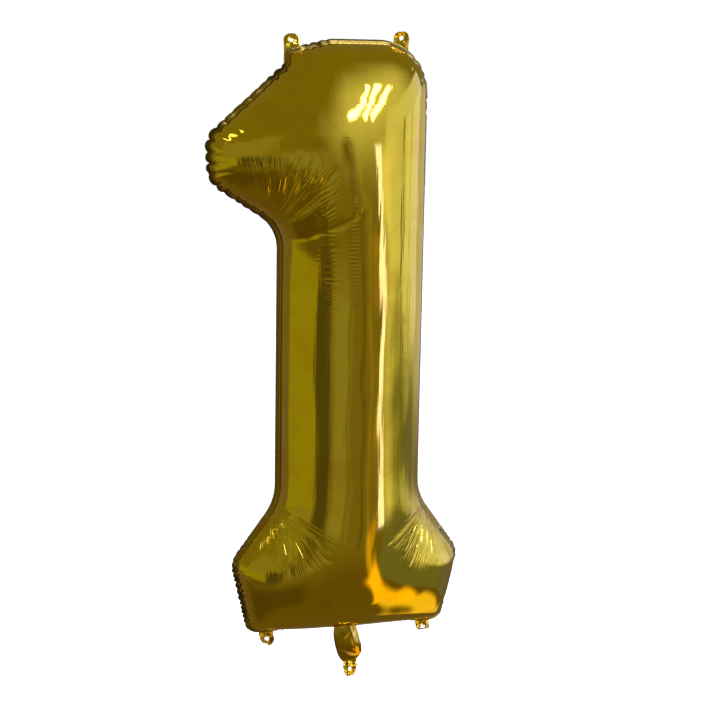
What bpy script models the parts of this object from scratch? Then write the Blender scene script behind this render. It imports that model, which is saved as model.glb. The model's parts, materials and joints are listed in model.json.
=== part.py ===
"""Foil number balloon, digit one, inflated: two foil sheets welded round a flat rim, four punched
hanging tabs, and a filling neck that holds a two-film valve.

Everything is drawn about the column's centre line, with X across, Z up from the rim's foot and the
weld in the XZ plane. One empty then moves it all, so that the origin is the middle of the top left
tab's hole, which the balloon hangs from. The front looks along -Y.
"""

import math

import bmesh
import bpy
import numpy as np
from mathutils import Matrix, Vector
from mathutils.geometry import delaunay_2d_cdt

# The digit's outline, along the weld line where the two sheets part (metres).
DIGIT_HEIGHT = 0.857
COLUMN_WIDTH = 0.2075
BASE_WIDTH = 0.339
BASE_FOOT_WIDTH = 0.291
BASE_SHOULDER_HEIGHT = 0.1035
FLARE_RISE = 0.0905
FLAG_REACH = 0.207
FLAG_NOSE_DROP = 0.134
FLAG_NOSE_HEIGHT = 0.059
FLAG_NOSE_INSET = 0.0035
FLAG_UNDERSIDE_DROP = 0.2565
CROWN_REACH = 0.036
TOP_LEFT_REACH = 0.095
TOP_LEFT_DROP = 0.015
TOP_LEFT_SIDE = 0.017
FOOT_RADIUS = 0.012
BASE_SHOULDER_RADIUS = 0.028
FLARE_RADIUS = 0.083
NECKLINE_RADIUS = 0.060
NOSE_RADIUS = 0.032
TOP_LEFT_RADIUS = 0.005
TAB_NOTCH_RADIUS = 0.012
CROWN_RADIUS = 0.080
TOP_RIGHT_RADIUS = 0.0765

# Film and rim.
FILM = 0.0004
PLY_GAP = 0.0003
RIM_WIDTH = 0.006
FULLNESS = 1.0

# Hanging tabs. Each inset runs from the digit's own corner to the tab's middle.
TAB_WIDTH = 0.022
TAB_LENGTH = 0.020
TAB_CORNER_RADIUS = 0.009
TAB_HOLE_RADIUS = 0.00325
TAB_HOLE_HEIGHT = 0.0105
TOP_LEFT_TAB_INSET = 0.004
TOP_RIGHT_TAB_INSET = 0.036
FOOT_TAB_INSET = 0.024
TAB_FOLD_GAP = 0.0005
TAB_FOLD_CLEARANCE = 0.00005

# Filling neck and the tab on its tip. The neck's plies are welded along their margins and part
# between them, by the valve channel at the root and by the mouth's rise as well from the belly on.
NECK_LENGTH = 0.054
NECK_ROOT_WIDTH = 0.034
NECK_BELLY_WIDTH = 0.041
NECK_BELLY_SHARE = 0.55
NECK_MARGIN = 0.003
NECK_RAMP = 0.004
NECK_FOLD_GAP = 0.0012
VALVE_CHANNEL = 0.0006
MOUTH_RISE = 0.0032
TAIL_TAB_LENGTH = 0.024
TAIL_HOLE_HEIGHT = 0.0135

# Valve films.
VALVE_FILM = 0.0003
VALVE_WIDTH = 0.030
VALVE_REACH = 0.085
VALVE_TONGUE_LENGTH = 0.036
VALVE_CORNER_RADIUS = 0.006
VALVE_SIDE_CLEARANCE = 0.0005
VALVE_ROOT_RISE = 0.001
VALVE_HINGE_GAP = 0.0003

# Fineness of the facets.
SKIN_STEP = 0.019
SKIN_ROWS = (0.0025, 0.009)
ARC_STEP = math.radians(15)
NECK_ALONG = 9

PLY_MIDDLE = (PLY_GAP + FILM) / 2
GOLD = (0.83, 0.60, 0.08, 1.0)
CLEAR = (0.86, 0.90, 0.90, 1.0)
FRONT = -1
REAR = 1


def clear_scene():
    for old in list(bpy.data.objects):
        bpy.data.objects.remove(old, do_unlink=True)


def principled(name, colour, roughness, metallic):
    """A material with the colour, roughness and metallic value of one piece."""
    material = bpy.data.materials.new(name)
    material.use_nodes = True
    material.diffuse_color = colour
    shader = material.node_tree.nodes["Principled BSDF"]
    shader.inputs["Base Color"].default_value = colour
    shader.inputs["Roughness"].default_value = roughness
    shader.inputs["Metallic"].default_value = metallic
    return material


def digit_corners():
    """The weld line's corners (x, z, fillet radius), counter-clockwise seen from the front."""
    column = COLUMN_WIDTH / 2
    shoulder = BASE_WIDTH / 2
    foot = BASE_FOOT_WIDTH / 2
    low = RIM_WIDTH
    top = low + DIGIT_HEIGHT
    flare = low + BASE_SHOULDER_HEIGHT + FLARE_RISE
    nose_top = top - FLAG_NOSE_DROP
    left = top - TOP_LEFT_DROP
    return [
        (-foot, low, FOOT_RADIUS),
        (foot, low, FOOT_RADIUS),
        (shoulder, low + BASE_SHOULDER_HEIGHT, BASE_SHOULDER_RADIUS),
        (column, flare, FLARE_RADIUS),
        (column, top, TOP_RIGHT_RADIUS),
        (-CROWN_REACH, top, CROWN_RADIUS),
        (-TOP_LEFT_REACH, left, TOP_LEFT_RADIUS),
        (-TOP_LEFT_REACH, left - TOP_LEFT_SIDE, TAB_NOTCH_RADIUS),
        (-FLAG_REACH, nose_top, NOSE_RADIUS),
        (-FLAG_REACH + FLAG_NOSE_INSET, nose_top - FLAG_NOSE_HEIGHT, NOSE_RADIUS),
        (-column, top - FLAG_UNDERSIDE_DROP, NECKLINE_RADIUS),
        (-column, flare, FLARE_RADIUS),
        (-shoulder, low + BASE_SHOULDER_HEIGHT, BASE_SHOULDER_RADIUS),
    ]


def filleted(corners, step):
    """Points of the rounded outline with their outward normals, as two arrays of (x, z)."""
    points, normals = [], []

    def add(point, normal):
        points.append((point.x, point.y))
        normals.append((normal.x, normal.y))

    arcs = []
    count = len(corners)
    for i, (x, z, radius) in enumerate(corners):
        here = Vector((x, z))
        before = Vector(corners[i - 1][:2])
        after = Vector(corners[(i + 1) % count][:2])
        inward = (here - before).normalized()
        onward = (after - here).normalized()
        turn = math.atan2(inward.cross(onward), inward.dot(onward))
        room = min((here - before).length, (after - here).length) / 2
        reach = min(radius * math.tan(abs(turn) / 2), room * 0.98)
        arcs.append((here, inward, onward, turn, reach))
    for i, (here, inward, onward, turn, reach) in enumerate(arcs):
        side = math.copysign(1, turn)
        radius = reach / math.tan(abs(turn) / 2)
        start = here - inward * reach
        centre = start + Vector((-inward.y, inward.x)) * side * radius
        pieces = max(2, math.ceil(abs(turn) / ARC_STEP))
        for k in range(pieces + 1):
            spoke = Matrix.Rotation(turn * k / pieces, 2) @ (start - centre)
            add(centre + spoke, spoke.normalized() * side)
        after, _, _, _, next_reach = arcs[(i + 1) % count]
        begin = here + onward * reach
        length = (after - here).length - reach - next_reach
        stretches = max(1, math.ceil(length / step))
        for k in range(1, stretches):
            add(begin + onward * length * k / stretches, Vector((onward.y, -onward.x)))
    return np.array(points), np.array(normals)


def inside(points, loop):
    """Which points lie inside a closed loop, by counting the crossings of a ray."""
    ends = np.roll(loop, -1, axis=0)
    x, z = points[:, :1], points[:, 1:]
    crosses = (loop[:, 1] > z) != (ends[:, 1] > z)
    run = np.where(ends[:, 1] == loop[:, 1], 1.0, ends[:, 1] - loop[:, 1])
    at = loop[:, 0] + (z - loop[:, 1]) * (ends[:, 0] - loop[:, 0]) / run
    return (crosses & (x < at)).sum(axis=1) % 2 == 1


def distance_to(points, loop):
    """How far each point is from the nearest of a loop's sides."""
    sides = np.roll(loop, -1, axis=0) - loop
    from_start = points[:, None] - loop[None]
    share = (from_start * sides).sum(2) / (sides**2).sum(1)
    nearest = loop + np.clip(share, 0, 1)[..., None] * sides
    return np.linalg.norm(points[:, None] - nearest, axis=2).min(axis=1)


def channel_share(across, half_width):
    """How fully a neck of this half width is parted at a distance across it: 0 on its welded
    margin, 1 on the flat middle, with a ramp between."""
    welded = half_width - NECK_MARGIN
    return np.clip((welded - np.abs(across)) / NECK_RAMP, 0, 1)


def weld_loop():
    """The weld line's points and outward normals. The points where the valve channel's floor and
    margins cross it are among them."""
    weld, normals = filleted(digit_corners(), SKIN_STEP)
    welded = NECK_ROOT_WIDTH / 2 - NECK_MARGIN
    for x in (-welded, NECK_RAMP - welded, welded - NECK_RAMP, welded):
        last = np.flatnonzero((normals[:, 1] < -0.999) & (weld[:, 0] < x))[-1]
        weld = np.insert(weld, last + 1, (x, weld[last, 1]), axis=0)
        normals = np.insert(normals, last + 1, normals[last], axis=0)
    return weld, normals


def skin_mesh():
    """One sheet laid flat: its points (x, z), its triangles, and which points are on the weld or
    the rim. Rows of points follow the weld line, where the sheet rises steeply."""
    weld, normals = weld_loop()
    size = len(weld)
    rows = [weld + normals * RIM_WIDTH, weld]
    rows += [weld - normals * inset for inset in SKIN_ROWS]
    pitch = SKIN_STEP * math.sqrt(3) / 2
    low, high = weld.min(0), weld.max(0)
    grid = []
    for j in range(int((high[1] - low[1]) / pitch) + 1):
        shift = SKIN_STEP / 2 * (j % 2)
        for i in range(int((high[0] - low[0]) / SKIN_STEP) + 1):
            grid.append((low[0] + shift + i * SKIN_STEP, low[1] + j * pitch))
    grid = np.array(grid)
    grid = grid[inside(grid, weld)]
    grid = grid[distance_to(grid, weld) > SKIN_ROWS[-1] + SKIN_STEP * 0.5]
    flat = np.concatenate([*rows, grid])
    ring = [(k, (k + 1) % size) for k in range(size)]
    edges = [(a + row, b + row) for row in (0, size) for a, b in ring]
    made = delaunay_2d_cdt([Vector(p) for p in flat], edges, [], 1, 1e-7)
    points, triangles, sources = made[0], made[2], made[3]
    fixed = np.array([min(came_from, default=0) < 2 * size for came_from in sources])
    return np.array([tuple(p) for p in points]), np.array(triangles), fixed


def blown_height(points, triangles, fixed):
    """How far gas pressure lifts each point of the sheet. The load on a flat membrane held at its
    edge gives u, with laplacian(u) = -1, and sqrt(2 u) makes a long strip exactly a round tube."""
    count = len(points)
    stiffness, load = np.zeros((count, count)), np.zeros(count)
    for corners in triangles:
        a, b, c = points[corners]
        sides = np.array([c - b, a - c, b - a])
        area = abs(sides[0][0] * sides[1][1] - sides[0][1] * sides[1][0]) / 2
        stiffness[np.ix_(corners, corners)] += sides @ sides.T / (4 * area)
        load[corners] += area / 3
    free = ~fixed
    lift = np.zeros(count)
    lift[free] = np.linalg.solve(stiffness[np.ix_(free, free)], load[free])
    return np.sqrt(2 * np.maximum(lift, 0)) * FULLNESS


def new_object(name, data, material, collection, holder):
    made = bpy.data.objects.new(name, data)
    data.materials.append(material)
    collection.objects.link(made)
    made.parent = holder
    return made


def empty(name, collection, parent, place):
    """An empty that its children are placed from."""
    made = bpy.data.objects.new(name, None)
    collection.objects.link(made)
    made.parent = parent
    made.location = place
    return made


def thicken(piece, wall):
    shell = piece.modifiers.new("Film", "SOLIDIFY")
    shell.thickness = wall
    shell.offset = 0
    shell.use_even_offset = True


def surface(name, points, faces, side):
    """An open mesh with its faces pointing away from the weld plane on its own side."""
    mesh = bpy.data.meshes.new(name)
    mesh.from_pydata([tuple(p) for p in points], [], [list(map(int, f)) for f in faces])
    shape = bmesh.new()
    shape.from_mesh(mesh)
    bmesh.ops.recalc_face_normals(shape, faces=shape.faces)
    lean = sum(face.normal.y * face.calc_area() for face in shape.faces)
    if lean * side < 0:
        bmesh.ops.reverse_faces(shape, faces=shape.faces)
    shape.to_mesh(mesh)
    shape.free()
    mesh.shade_smooth()
    return mesh


def sheets(collection, holder, material):
    """The front and rear foil sheets, each a bulged skin with its flat ply of the rim."""
    flat, triangles, fixed = skin_mesh()
    height = blown_height(flat, triangles, fixed)
    foot = fixed & (flat[:, 1] < 2 * RIM_WIDTH)
    height[foot] += VALVE_CHANNEL * channel_share(flat[foot, 0], NECK_ROOT_WIDTH / 2)
    for name, side in (("front_foil_sheet", FRONT), ("rear_foil_sheet", REAR)):
        points = np.stack([flat[:, 0], side * (PLY_MIDDLE + height), flat[:, 1]], axis=1)
        mesh = surface(name, points, triangles, side)
        thicken(new_object(name, mesh, material, collection, holder), FILM)


def outline_curve(name, loops, thickness):
    """A flat plate in the XZ plane, from closed loops of (x, z) about its own origin."""
    curve = bpy.data.curves.new(name, "CURVE")
    curve.dimensions = "2D"
    curve.fill_mode = "BOTH"
    curve.extrude = thickness / 2
    for loop in loops:
        spline = curve.splines.new("POLY")
        spline.points.add(len(loop) - 1)
        for point, (x, z) in zip(spline.points, loop):
            point.co = (x, z, 0, 1)
        spline.use_cyclic_u = True
    return curve


def arc(centre, radius, start, end, pieces):
    """Points along an arc, its angles in degrees."""
    angles = [math.radians(start + (end - start) * k / pieces) for k in range(pieces + 1)]
    return [(centre[0] + radius * math.cos(a), centre[1] + radius * math.sin(a)) for a in angles]


def tab_loops(length, hole_height, root):
    """A punched tab's outline and its hole. The root is a list of points from left to right."""
    radius = min(TAB_CORNER_RADIUS, TAB_WIDTH / 2.01)
    right = arc((TAB_WIDTH / 2 - radius, length - radius), radius, 0, 90, 5)
    left = arc((radius - TAB_WIDTH / 2, length - radius), radius, 90, 180, 5)
    hole = arc((0, hole_height), TAB_HOLE_RADIUS, 0, 360, 20)[:-1]
    return root + right + left, hole


def turned(loop, angle):
    """A loop's points turned about its origin, counter-clockwise."""
    cosine, sine = math.cos(angle), math.sin(angle)
    return [(x * cosine - z * sine, x * sine + z * cosine) for x, z in loop]


def rim_edge(side_of_top):
    """The rim's edge along the top (1) or the foot (-1): its points and their outward normals."""
    weld, normals = filleted(digit_corners(), SKIN_STEP)
    level = RIM_WIDTH + (DIGIT_HEIGHT if side_of_top > 0 else 0)
    near = np.abs(weld[:, 1] - level) < TOP_LEFT_DROP + TOP_LEFT_SIDE / 2
    keep = near & (normals[:, 1] * side_of_top > 0.5)
    edge, outward = (weld + normals * RIM_WIDTH)[keep], normals[keep]
    order = np.argsort(edge[:, 0])
    return edge[order], outward[order]


def rim_line(x, edge, outward):
    """The rim's edge at this x: a point and its outward normal."""
    normal = Vector([np.interp(x, edge[:, 0], outward[:, k]) for k in (0, 1)])
    return Vector((x, np.interp(x, edge[:, 0], edge[:, 1]))), normal.normalized()


def tab_places():
    """Each tab's name, its middle across the digit, and whether it is on the top or the foot."""
    foot = BASE_FOOT_WIDTH / 2 - FOOT_TAB_INSET
    return (
        ("tab_top_left", TOP_LEFT_TAB_INSET - TOP_LEFT_REACH, 1),
        ("tab_top_right", COLUMN_WIDTH / 2 - TOP_RIGHT_TAB_INSET, 1),
        ("tab_foot_left", -foot, -1),
        ("tab_foot_right", foot, -1),
    )


def tab_root(x, side_of_top):
    """Where a tab folds, the rim's outward normal there, and the tab's own root line: points that
    follow the rim's edge a fold gap away from it, seen from the fold with the tab pointing up.
    The fold clears the rim's highest point along that normal, so the tab can lie flat over it."""
    edge, outward = rim_edge(side_of_top)
    point, normal = rim_line(x, edge, outward)
    lift = ((edge - np.array(point)) @ np.array(normal)).max()
    fold = point + normal * (lift + TAB_FOLD_GAP - TAB_FOLD_CLEARANCE)
    root = []
    for k in range(7):
        across = TAB_WIDTH * (k / 6 - 0.5)
        beside, away = rim_line(x + across * side_of_top, edge, outward)
        root.append((across, (beside + away * TAB_FOLD_GAP - fold).y * side_of_top))
    return fold, normal, root


def hang_hole():
    """The middle of the top left tab's hole, which becomes the origin."""
    _, x, side = tab_places()[0]
    fold, _, _ = tab_root(x, side)
    return Vector((fold.x, 0, fold.y + TAB_HOLE_HEIGHT))


def tabs(collection, holder, material):
    """Four punched tabs, each two plies fused. Each points straight up or down, and its local X
    lies along the rim's edge, which it folds about."""
    for name, x, side in tab_places():
        fold, normal, root = tab_root(x, side)
        turn = math.atan2(normal.y, normal.x) - math.pi / 2
        upright = 0 if side > 0 else -math.pi
        loops = [turned(loop, upright - turn) for loop in tab_loops(TAB_LENGTH, TAB_HOLE_HEIGHT, root)]
        plate = outline_curve(name, loops, 2 * FILM)
        tab = new_object(name, plate, material, collection, holder)
        tab.matrix_local = (
            Matrix.Translation((fold.x, 0, fold.y))
            @ Matrix.Rotation(-turn, 4, "Y")
            @ Matrix.Rotation(math.pi / 2, 4, "X")
        )


def belly_share(share):
    """How far the neck has swelled, from its root (share 0) to its belly and on to its mouth (1)."""
    return math.sin(math.pi / 2 * min(1.0, share / NECK_BELLY_SHARE))


def neck_ply_points(side):
    """Rows of points across one ply of the neck, from its root down to its mouth."""
    for j in range(NECK_ALONG + 1):
        share = j / NECK_ALONG
        swell = belly_share(share)
        half = (NECK_ROOT_WIDTH + (NECK_BELLY_WIDTH - NECK_ROOT_WIDTH) * swell) / 2
        welded = half - NECK_MARGIN
        right = [(welded - NECK_RAMP) / 3, welded - NECK_RAMP, welded - NECK_RAMP / 2, welded, half]
        rise = VALVE_CHANNEL + MOUTH_RISE * swell
        z = -NECK_FOLD_GAP - NECK_LENGTH * share
        for x in [-x for x in reversed(right)] + right:
            yield x, side * (PLY_MIDDLE + rise * channel_share(x, half)), z


def neck(collection, fold, material):
    """The neck's two plies, nearly flat at the root where they fold and parted at the mouth."""
    for name, side in (("neck_front_ply", FRONT), ("neck_rear_ply", REAR)):
        points = list(neck_ply_points(side))
        row = len(points) // (NECK_ALONG + 1)
        corners = [j * row + i for j in range(NECK_ALONG) for i in range(row - 1)]
        faces = [(k, k + 1, k + 1 + row, k + row) for k in corners]
        mesh = surface(name, points, faces, side)
        thicken(new_object(name, mesh, material, collection, fold), FILM)


def tail_tab(collection, fold, material):
    """The punched tab that the rear ply ends in, below the mouth."""
    root = [(-TAB_WIDTH / 2, TAB_FOLD_CLEARANCE), (TAB_WIDTH / 2, TAB_FOLD_CLEARANCE)]
    loops = tab_loops(TAIL_TAB_LENGTH, TAIL_HOLE_HEIGHT, root)
    tab = new_object("tail_tab", outline_curve("tail_tab", loops, FILM), material, collection, fold)
    depth = PLY_MIDDLE + VALVE_CHANNEL + MOUTH_RISE
    lowest = -NECK_FOLD_GAP - NECK_LENGTH - TAB_FOLD_GAP
    tab.matrix_local = Matrix.Translation((0, depth, lowest)) @ Matrix.Rotation(
        -math.pi / 2, 4, "X"
    )


def strip_loop(width, low, high, round_end):
    """A strip's outline in X and Z, with its corners rounded at the high end or the low one."""
    half, radius = width / 2, VALVE_CORNER_RADIUS
    if round_end == "high":
        right = arc((half - radius, high - radius), radius, 0, 90, 4)
        return [(-half, low), (half, low), *right] + [(-x, z) for x, z in reversed(right)]
    right = arc((half - radius, low + radius), radius, 270, 360, 4)
    return [(half, high), (-half, high)] + [(-x, z) for x, z in reversed(right)] + right


def valve(collection, holder, fold, material):
    """The valve's two films. Each runs from the neck, through the channel in the rim, to a free
    length inside that gas presses against the other, and is in three pieces that meet at the
    neck's fold and where the free length bends."""
    middle = (PLY_GAP + VALVE_FILM) / 2
    narrow = NECK_ROOT_WIDTH - 2 * (NECK_MARGIN + NECK_RAMP + VALVE_SIDE_CLEARANCE)
    bend = RIM_WIDTH + VALVE_ROOT_RISE + VALVE_HINGE_GAP / 2
    half_gap = VALVE_HINGE_GAP / 2
    corners = [(-1, -bend), (1, -bend), (1, -half_gap), (-1, -half_gap)]
    root = [(side * narrow / 2, z) for side, z in corners]
    pieces = (
        ("film", strip_loop(VALVE_WIDTH, half_gap, VALVE_REACH, "high"), holder, bend),
        ("root", root, holder, bend),
        ("tongue", strip_loop(narrow, -VALVE_TONGUE_LENGTH, 0, "low"), fold, -NECK_FOLD_GAP),
    )
    for word, side in (("front", FRONT), ("rear", REAR)):
        for piece, loop, parent, z in pieces:
            name = f"valve_{word}_{piece}"
            film = outline_curve(name, [loop], VALVE_FILM)
            strip = new_object(name, film, material, collection, parent)
            strip.matrix_local = Matrix.Translation((0, side * middle, z)) @ Matrix.Rotation(
                math.pi / 2, 4, "X"
            )


def main():
    clear_scene()
    collection = bpy.data.collections.new("foil_number_balloon")
    bpy.context.scene.collection.children.link(collection)
    holder = empty("balloon", collection, None, -hang_hole())
    fold = empty("neck_fold", collection, holder, (0, 0, -NECK_FOLD_GAP))
    foil = principled("gold_foil", GOLD, 0.15, 1.0)
    film = principled("clear_film", CLEAR, 0.3, 0.0)
    sheets(collection, holder, foil)
    tabs(collection, holder, foil)
    neck(collection, fold, foil)
    tail_tab(collection, fold, foil)
    valve(collection, holder, fold, film)


main()
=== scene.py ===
"""Looks of an inflated gold foil number balloon, the digit one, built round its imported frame."""

import json
import logging
import math
from dataclasses import dataclass, field
from enum import Enum
from typing import Callable, Sequence

import bpy
import numpy as np
from mathutils import Matrix, Vector
from mathutils.geometry import delaunay_2d_cdt


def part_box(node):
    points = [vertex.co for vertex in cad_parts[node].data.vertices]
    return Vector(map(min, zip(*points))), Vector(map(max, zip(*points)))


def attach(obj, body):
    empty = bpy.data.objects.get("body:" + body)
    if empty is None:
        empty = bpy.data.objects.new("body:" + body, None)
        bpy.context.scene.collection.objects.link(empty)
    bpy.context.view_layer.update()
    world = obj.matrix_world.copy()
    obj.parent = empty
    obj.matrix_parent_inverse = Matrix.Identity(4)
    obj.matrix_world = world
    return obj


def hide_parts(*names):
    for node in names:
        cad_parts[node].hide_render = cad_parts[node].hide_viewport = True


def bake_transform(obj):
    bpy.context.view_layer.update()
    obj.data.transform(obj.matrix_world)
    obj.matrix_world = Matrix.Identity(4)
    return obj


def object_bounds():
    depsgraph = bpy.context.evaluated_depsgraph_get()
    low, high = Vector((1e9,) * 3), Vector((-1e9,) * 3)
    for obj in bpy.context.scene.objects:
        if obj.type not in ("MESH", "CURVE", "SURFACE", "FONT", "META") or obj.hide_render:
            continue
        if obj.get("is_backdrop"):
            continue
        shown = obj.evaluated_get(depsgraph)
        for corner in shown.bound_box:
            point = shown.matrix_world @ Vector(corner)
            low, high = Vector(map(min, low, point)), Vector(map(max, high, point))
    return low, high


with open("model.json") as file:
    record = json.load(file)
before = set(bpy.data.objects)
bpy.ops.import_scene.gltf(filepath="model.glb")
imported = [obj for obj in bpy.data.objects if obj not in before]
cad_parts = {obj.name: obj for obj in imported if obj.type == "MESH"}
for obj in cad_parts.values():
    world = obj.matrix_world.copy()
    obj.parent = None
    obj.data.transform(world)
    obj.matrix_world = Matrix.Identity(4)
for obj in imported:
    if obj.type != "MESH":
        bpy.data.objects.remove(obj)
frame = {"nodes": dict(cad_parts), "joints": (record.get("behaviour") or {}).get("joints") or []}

log = logging.getLogger("foil_balloon")

FILM = 0.0002
PLY_OUTSIDE = 0.0003
RIM_WIDTH = 0.006
VIEW_CENTRE = (0.016, 0.0, 0.4081)


class Side(Enum):
    """The two faces of the balloon: the front looks along -Y."""

    FRONT = -1
    REAR = 1


class Tint(Enum):
    """Linear colours given to the film's surfaces; the two rim colours and the shaded gold are painted shade.
    """

    GOLD = (0.93, 0.69, 0.022)
    WORN_GOLD = (0.86, 0.58, 0.016)
    SHADED_GOLD = (0.70, 0.47, 0.018)
    # painted shade: the rim's foil is darkened for the dark it mirrors and the shade between its plies, and
    # nearly black where the film is gathered
    RIM = (0.36, 0.25, 0.018)
    GATHERED_RIM = (0.075, 0.045, 0.008)
    CLEAR = (0.93, 0.95, 0.94)


# ---------------------------------------------------------------------------------------------
# Outlines and flat meshes
# ---------------------------------------------------------------------------------------------


@dataclass(frozen=True)
class Corner:
    """One corner of an outline in the weld's plane, before it is rounded."""

    x: float
    z: float
    radius: float


@dataclass
class Loop:
    """A closed line in the weld's plane: points, outward normals and the run along it."""

    points: np.ndarray
    normals: np.ndarray

    @property
    def run(self) -> np.ndarray:
        """How far along the loop each point lies."""
        steps = np.linalg.norm(np.roll(self.points, -1, axis=0) - self.points, axis=1)
        return np.concatenate([[0.0], np.cumsum(steps)[:-1]])

    @property
    def length(self) -> float:
        """The loop's whole length."""
        return float(np.linalg.norm(np.roll(self.points, -1, axis=0) - self.points, axis=1).sum())

    def beside(self, inset: float) -> np.ndarray:
        """The loop moved inwards by an inset, or outwards by a negative one."""
        return self.points - self.normals * inset

    def holds(self, points: np.ndarray) -> np.ndarray:
        """Which points lie inside the loop, by counting the crossings of a ray."""
        ends = np.roll(self.points, -1, axis=0)
        found = np.zeros(len(points), bool)
        for start, end in zip(self.points, ends):
            spans = (start[1] > points[:, 1]) != (end[1] > points[:, 1])
            if start[1] != end[1]:
                slope = (end[0] - start[0]) / (end[1] - start[1])
                found ^= spans & (points[:, 0] < start[0] + (points[:, 1] - start[1]) * slope)
        return found

    def nearest(self, points: np.ndarray) -> tuple[np.ndarray, np.ndarray]:
        """How far each point is from the loop, and the run of the loop's nearest point."""
        sides = np.roll(self.points, -1, axis=0) - self.points
        squares = (sides**2).sum(1)
        gap, run = np.empty(len(points)), np.empty(len(points))
        for first in range(0, len(points), 2000):
            some = points[first : first + 2000]
            dx = some[:, :1] - self.points[:, 0]
            dz = some[:, 1:] - self.points[:, 1]
            share = np.clip((dx * sides[:, 0] + dz * sides[:, 1]) / squares, 0, 1)
            apart = (dx - share * sides[:, 0]) ** 2 + (dz - share * sides[:, 1]) ** 2
            best = apart.argmin(1)
            rows = np.arange(len(some))
            gap[first : first + 2000] = np.sqrt(apart[rows, best])
            run[first : first + 2000] = self.run[best] + share[rows, best] * np.sqrt(squares[best])
        return gap, run


def rounded(corners: Sequence[Corner], step: float) -> Loop:
    """Rounds an outline's corners and divides it evenly.

    Args:
        corners: The corners, counter-clockwise seen from the front.
        step: The longest distance between neighbouring points.

    Returns:
        The closed loop.
    """
    places = [Vector((corner.x, corner.z)) for corner in corners]
    count = len(corners)
    arcs = []
    for i, corner in enumerate(corners):
        before, after = places[i - 1], places[(i + 1) % count]
        inward = (places[i] - before).normalized()
        onward = (after - places[i]).normalized()
        turn = math.atan2(inward.cross(onward), inward.dot(onward))
        room = min((places[i] - before).length, (after - places[i]).length) / 2
        reach = min(corner.radius * math.tan(abs(turn) / 2), room * 0.98)
        arcs.append((places[i], inward, onward, turn, reach))
    points, normals = [], []
    for i, (here, inward, onward, turn, reach) in enumerate(arcs):
        side = math.copysign(1, turn)
        radius = reach / math.tan(abs(turn) / 2)
        start = here - inward * reach
        centre = start + Vector((-inward.y, inward.x)) * side * radius
        pieces = max(2, math.ceil(abs(turn) * radius / step))
        for k in range(pieces + 1):
            spoke = Matrix.Rotation(turn * k / pieces, 2) @ (start - centre)
            points.append(tuple(centre + spoke))
            normals.append(tuple(spoke.normalized() * side))
        after, _, _, _, next_reach = arcs[(i + 1) % count]
        begin = here + onward * reach
        length = (after - here).length - reach - next_reach
        stretches = max(1, math.ceil(length / step))
        for k in range(1, stretches):
            points.append(tuple(begin + onward * length * k / stretches))
            normals.append((onward.y, -onward.x))
    return Loop(np.array(points), np.array(normals))


def hexagonal(low: np.ndarray, high: np.ndarray, step: float) -> np.ndarray:
    """Points on a grid of even triangles that fills a box."""
    pitch = step * math.sqrt(3) / 2
    rows = np.arange(low[1], high[1] + pitch, pitch)
    across = np.arange(low[0], high[0] + step, step)
    x = across[None] + (np.arange(len(rows)) % 2)[:, None] * step / 2
    return np.stack([x.ravel(), np.repeat(rows, len(across))], axis=1)


def triangulated(rings: Sequence[np.ndarray], others: Sequence[np.ndarray]) -> tuple:
    """Joins points up into triangles.

    Args:
        rings: Closed lines that the triangles keep to, the outermost first.
        others: More points, inside the outermost ring.

    Returns:
        The points and the triangles.
    """
    flat = np.concatenate([*rings, *others])
    edges, first = [], 0
    for ring in rings:
        edges += [(first + k, first + (k + 1) % len(ring)) for k in range(len(ring))]
        first += len(ring)
    made = delaunay_2d_cdt([Vector(p) for p in flat], edges, [], 1, 1e-7)
    return np.array([tuple(p) for p in made[0]]), np.array(made[2])


def membrane_lift(points: np.ndarray, triangles: np.ndarray, held: np.ndarray) -> np.ndarray:
    """The rise u of a flat membrane under an even load, with laplacian(u) = -1, by conjugate
    gradients on linear triangles.

    Args:
        points: The flat points.
        triangles: The triangles.
        held: Which points stay down.

    Returns:
        The rise at each point.
    """
    count = len(points)
    corner = [points[triangles[:, k]] for k in range(3)]
    sides = [corner[2] - corner[1], corner[0] - corner[2], corner[1] - corner[0]]
    area = np.abs(sides[0][:, 0] * sides[1][:, 1] - sides[0][:, 1] * sides[1][:, 0]) / 2
    area = np.maximum(area, 1e-14)
    load = np.bincount(triangles.ravel(), np.repeat(area / 3, 3), count)
    ends, pull = [], []
    for a, b in ((0, 1), (1, 2), (2, 0)):
        ends.append(np.sort(triangles[:, [a, b]], axis=1))
        pull.append((sides[a] * sides[b]).sum(1) / (4 * area))
    edges, which = np.unique(np.concatenate(ends), axis=0, return_inverse=True)
    pull = -np.bincount(which.ravel(), np.concatenate(pull), len(edges))
    start, end = edges[:, 0], edges[:, 1]
    stiff = np.bincount(start, pull, count) + np.bincount(end, pull, count)
    free = ~held

    def pushed(rise: np.ndarray) -> np.ndarray:
        """The load that would hold the membrane at this rise."""
        flow = pull * (rise[start] - rise[end])
        return (np.bincount(start, flow, count) - np.bincount(end, flow, count)) * free

    rise = np.zeros(count)
    left = load * free
    ease = free / stiff
    eased = left * ease
    heading = eased.copy()
    energy = left @ eased
    goal = energy * 1e-12
    for _ in range(4000):
        answer = pushed(heading)
        stride = energy / (heading @ answer)
        rise += stride * heading
        left -= stride * answer
        eased = left * ease
        renewed = left @ eased
        if renewed < goal:
            break
        heading = eased + heading * (renewed / energy)
        energy = renewed
    return rise


def smooth_step(value: np.ndarray, low: float, high: float) -> np.ndarray:
    """Eases from 0 at low to 1 at high."""
    share = np.clip((value - low) / (high - low), 0, 1)
    return share * share * (3 - 2 * share)


# ---------------------------------------------------------------------------------------------
# Meshes and node trees
# ---------------------------------------------------------------------------------------------


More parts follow.
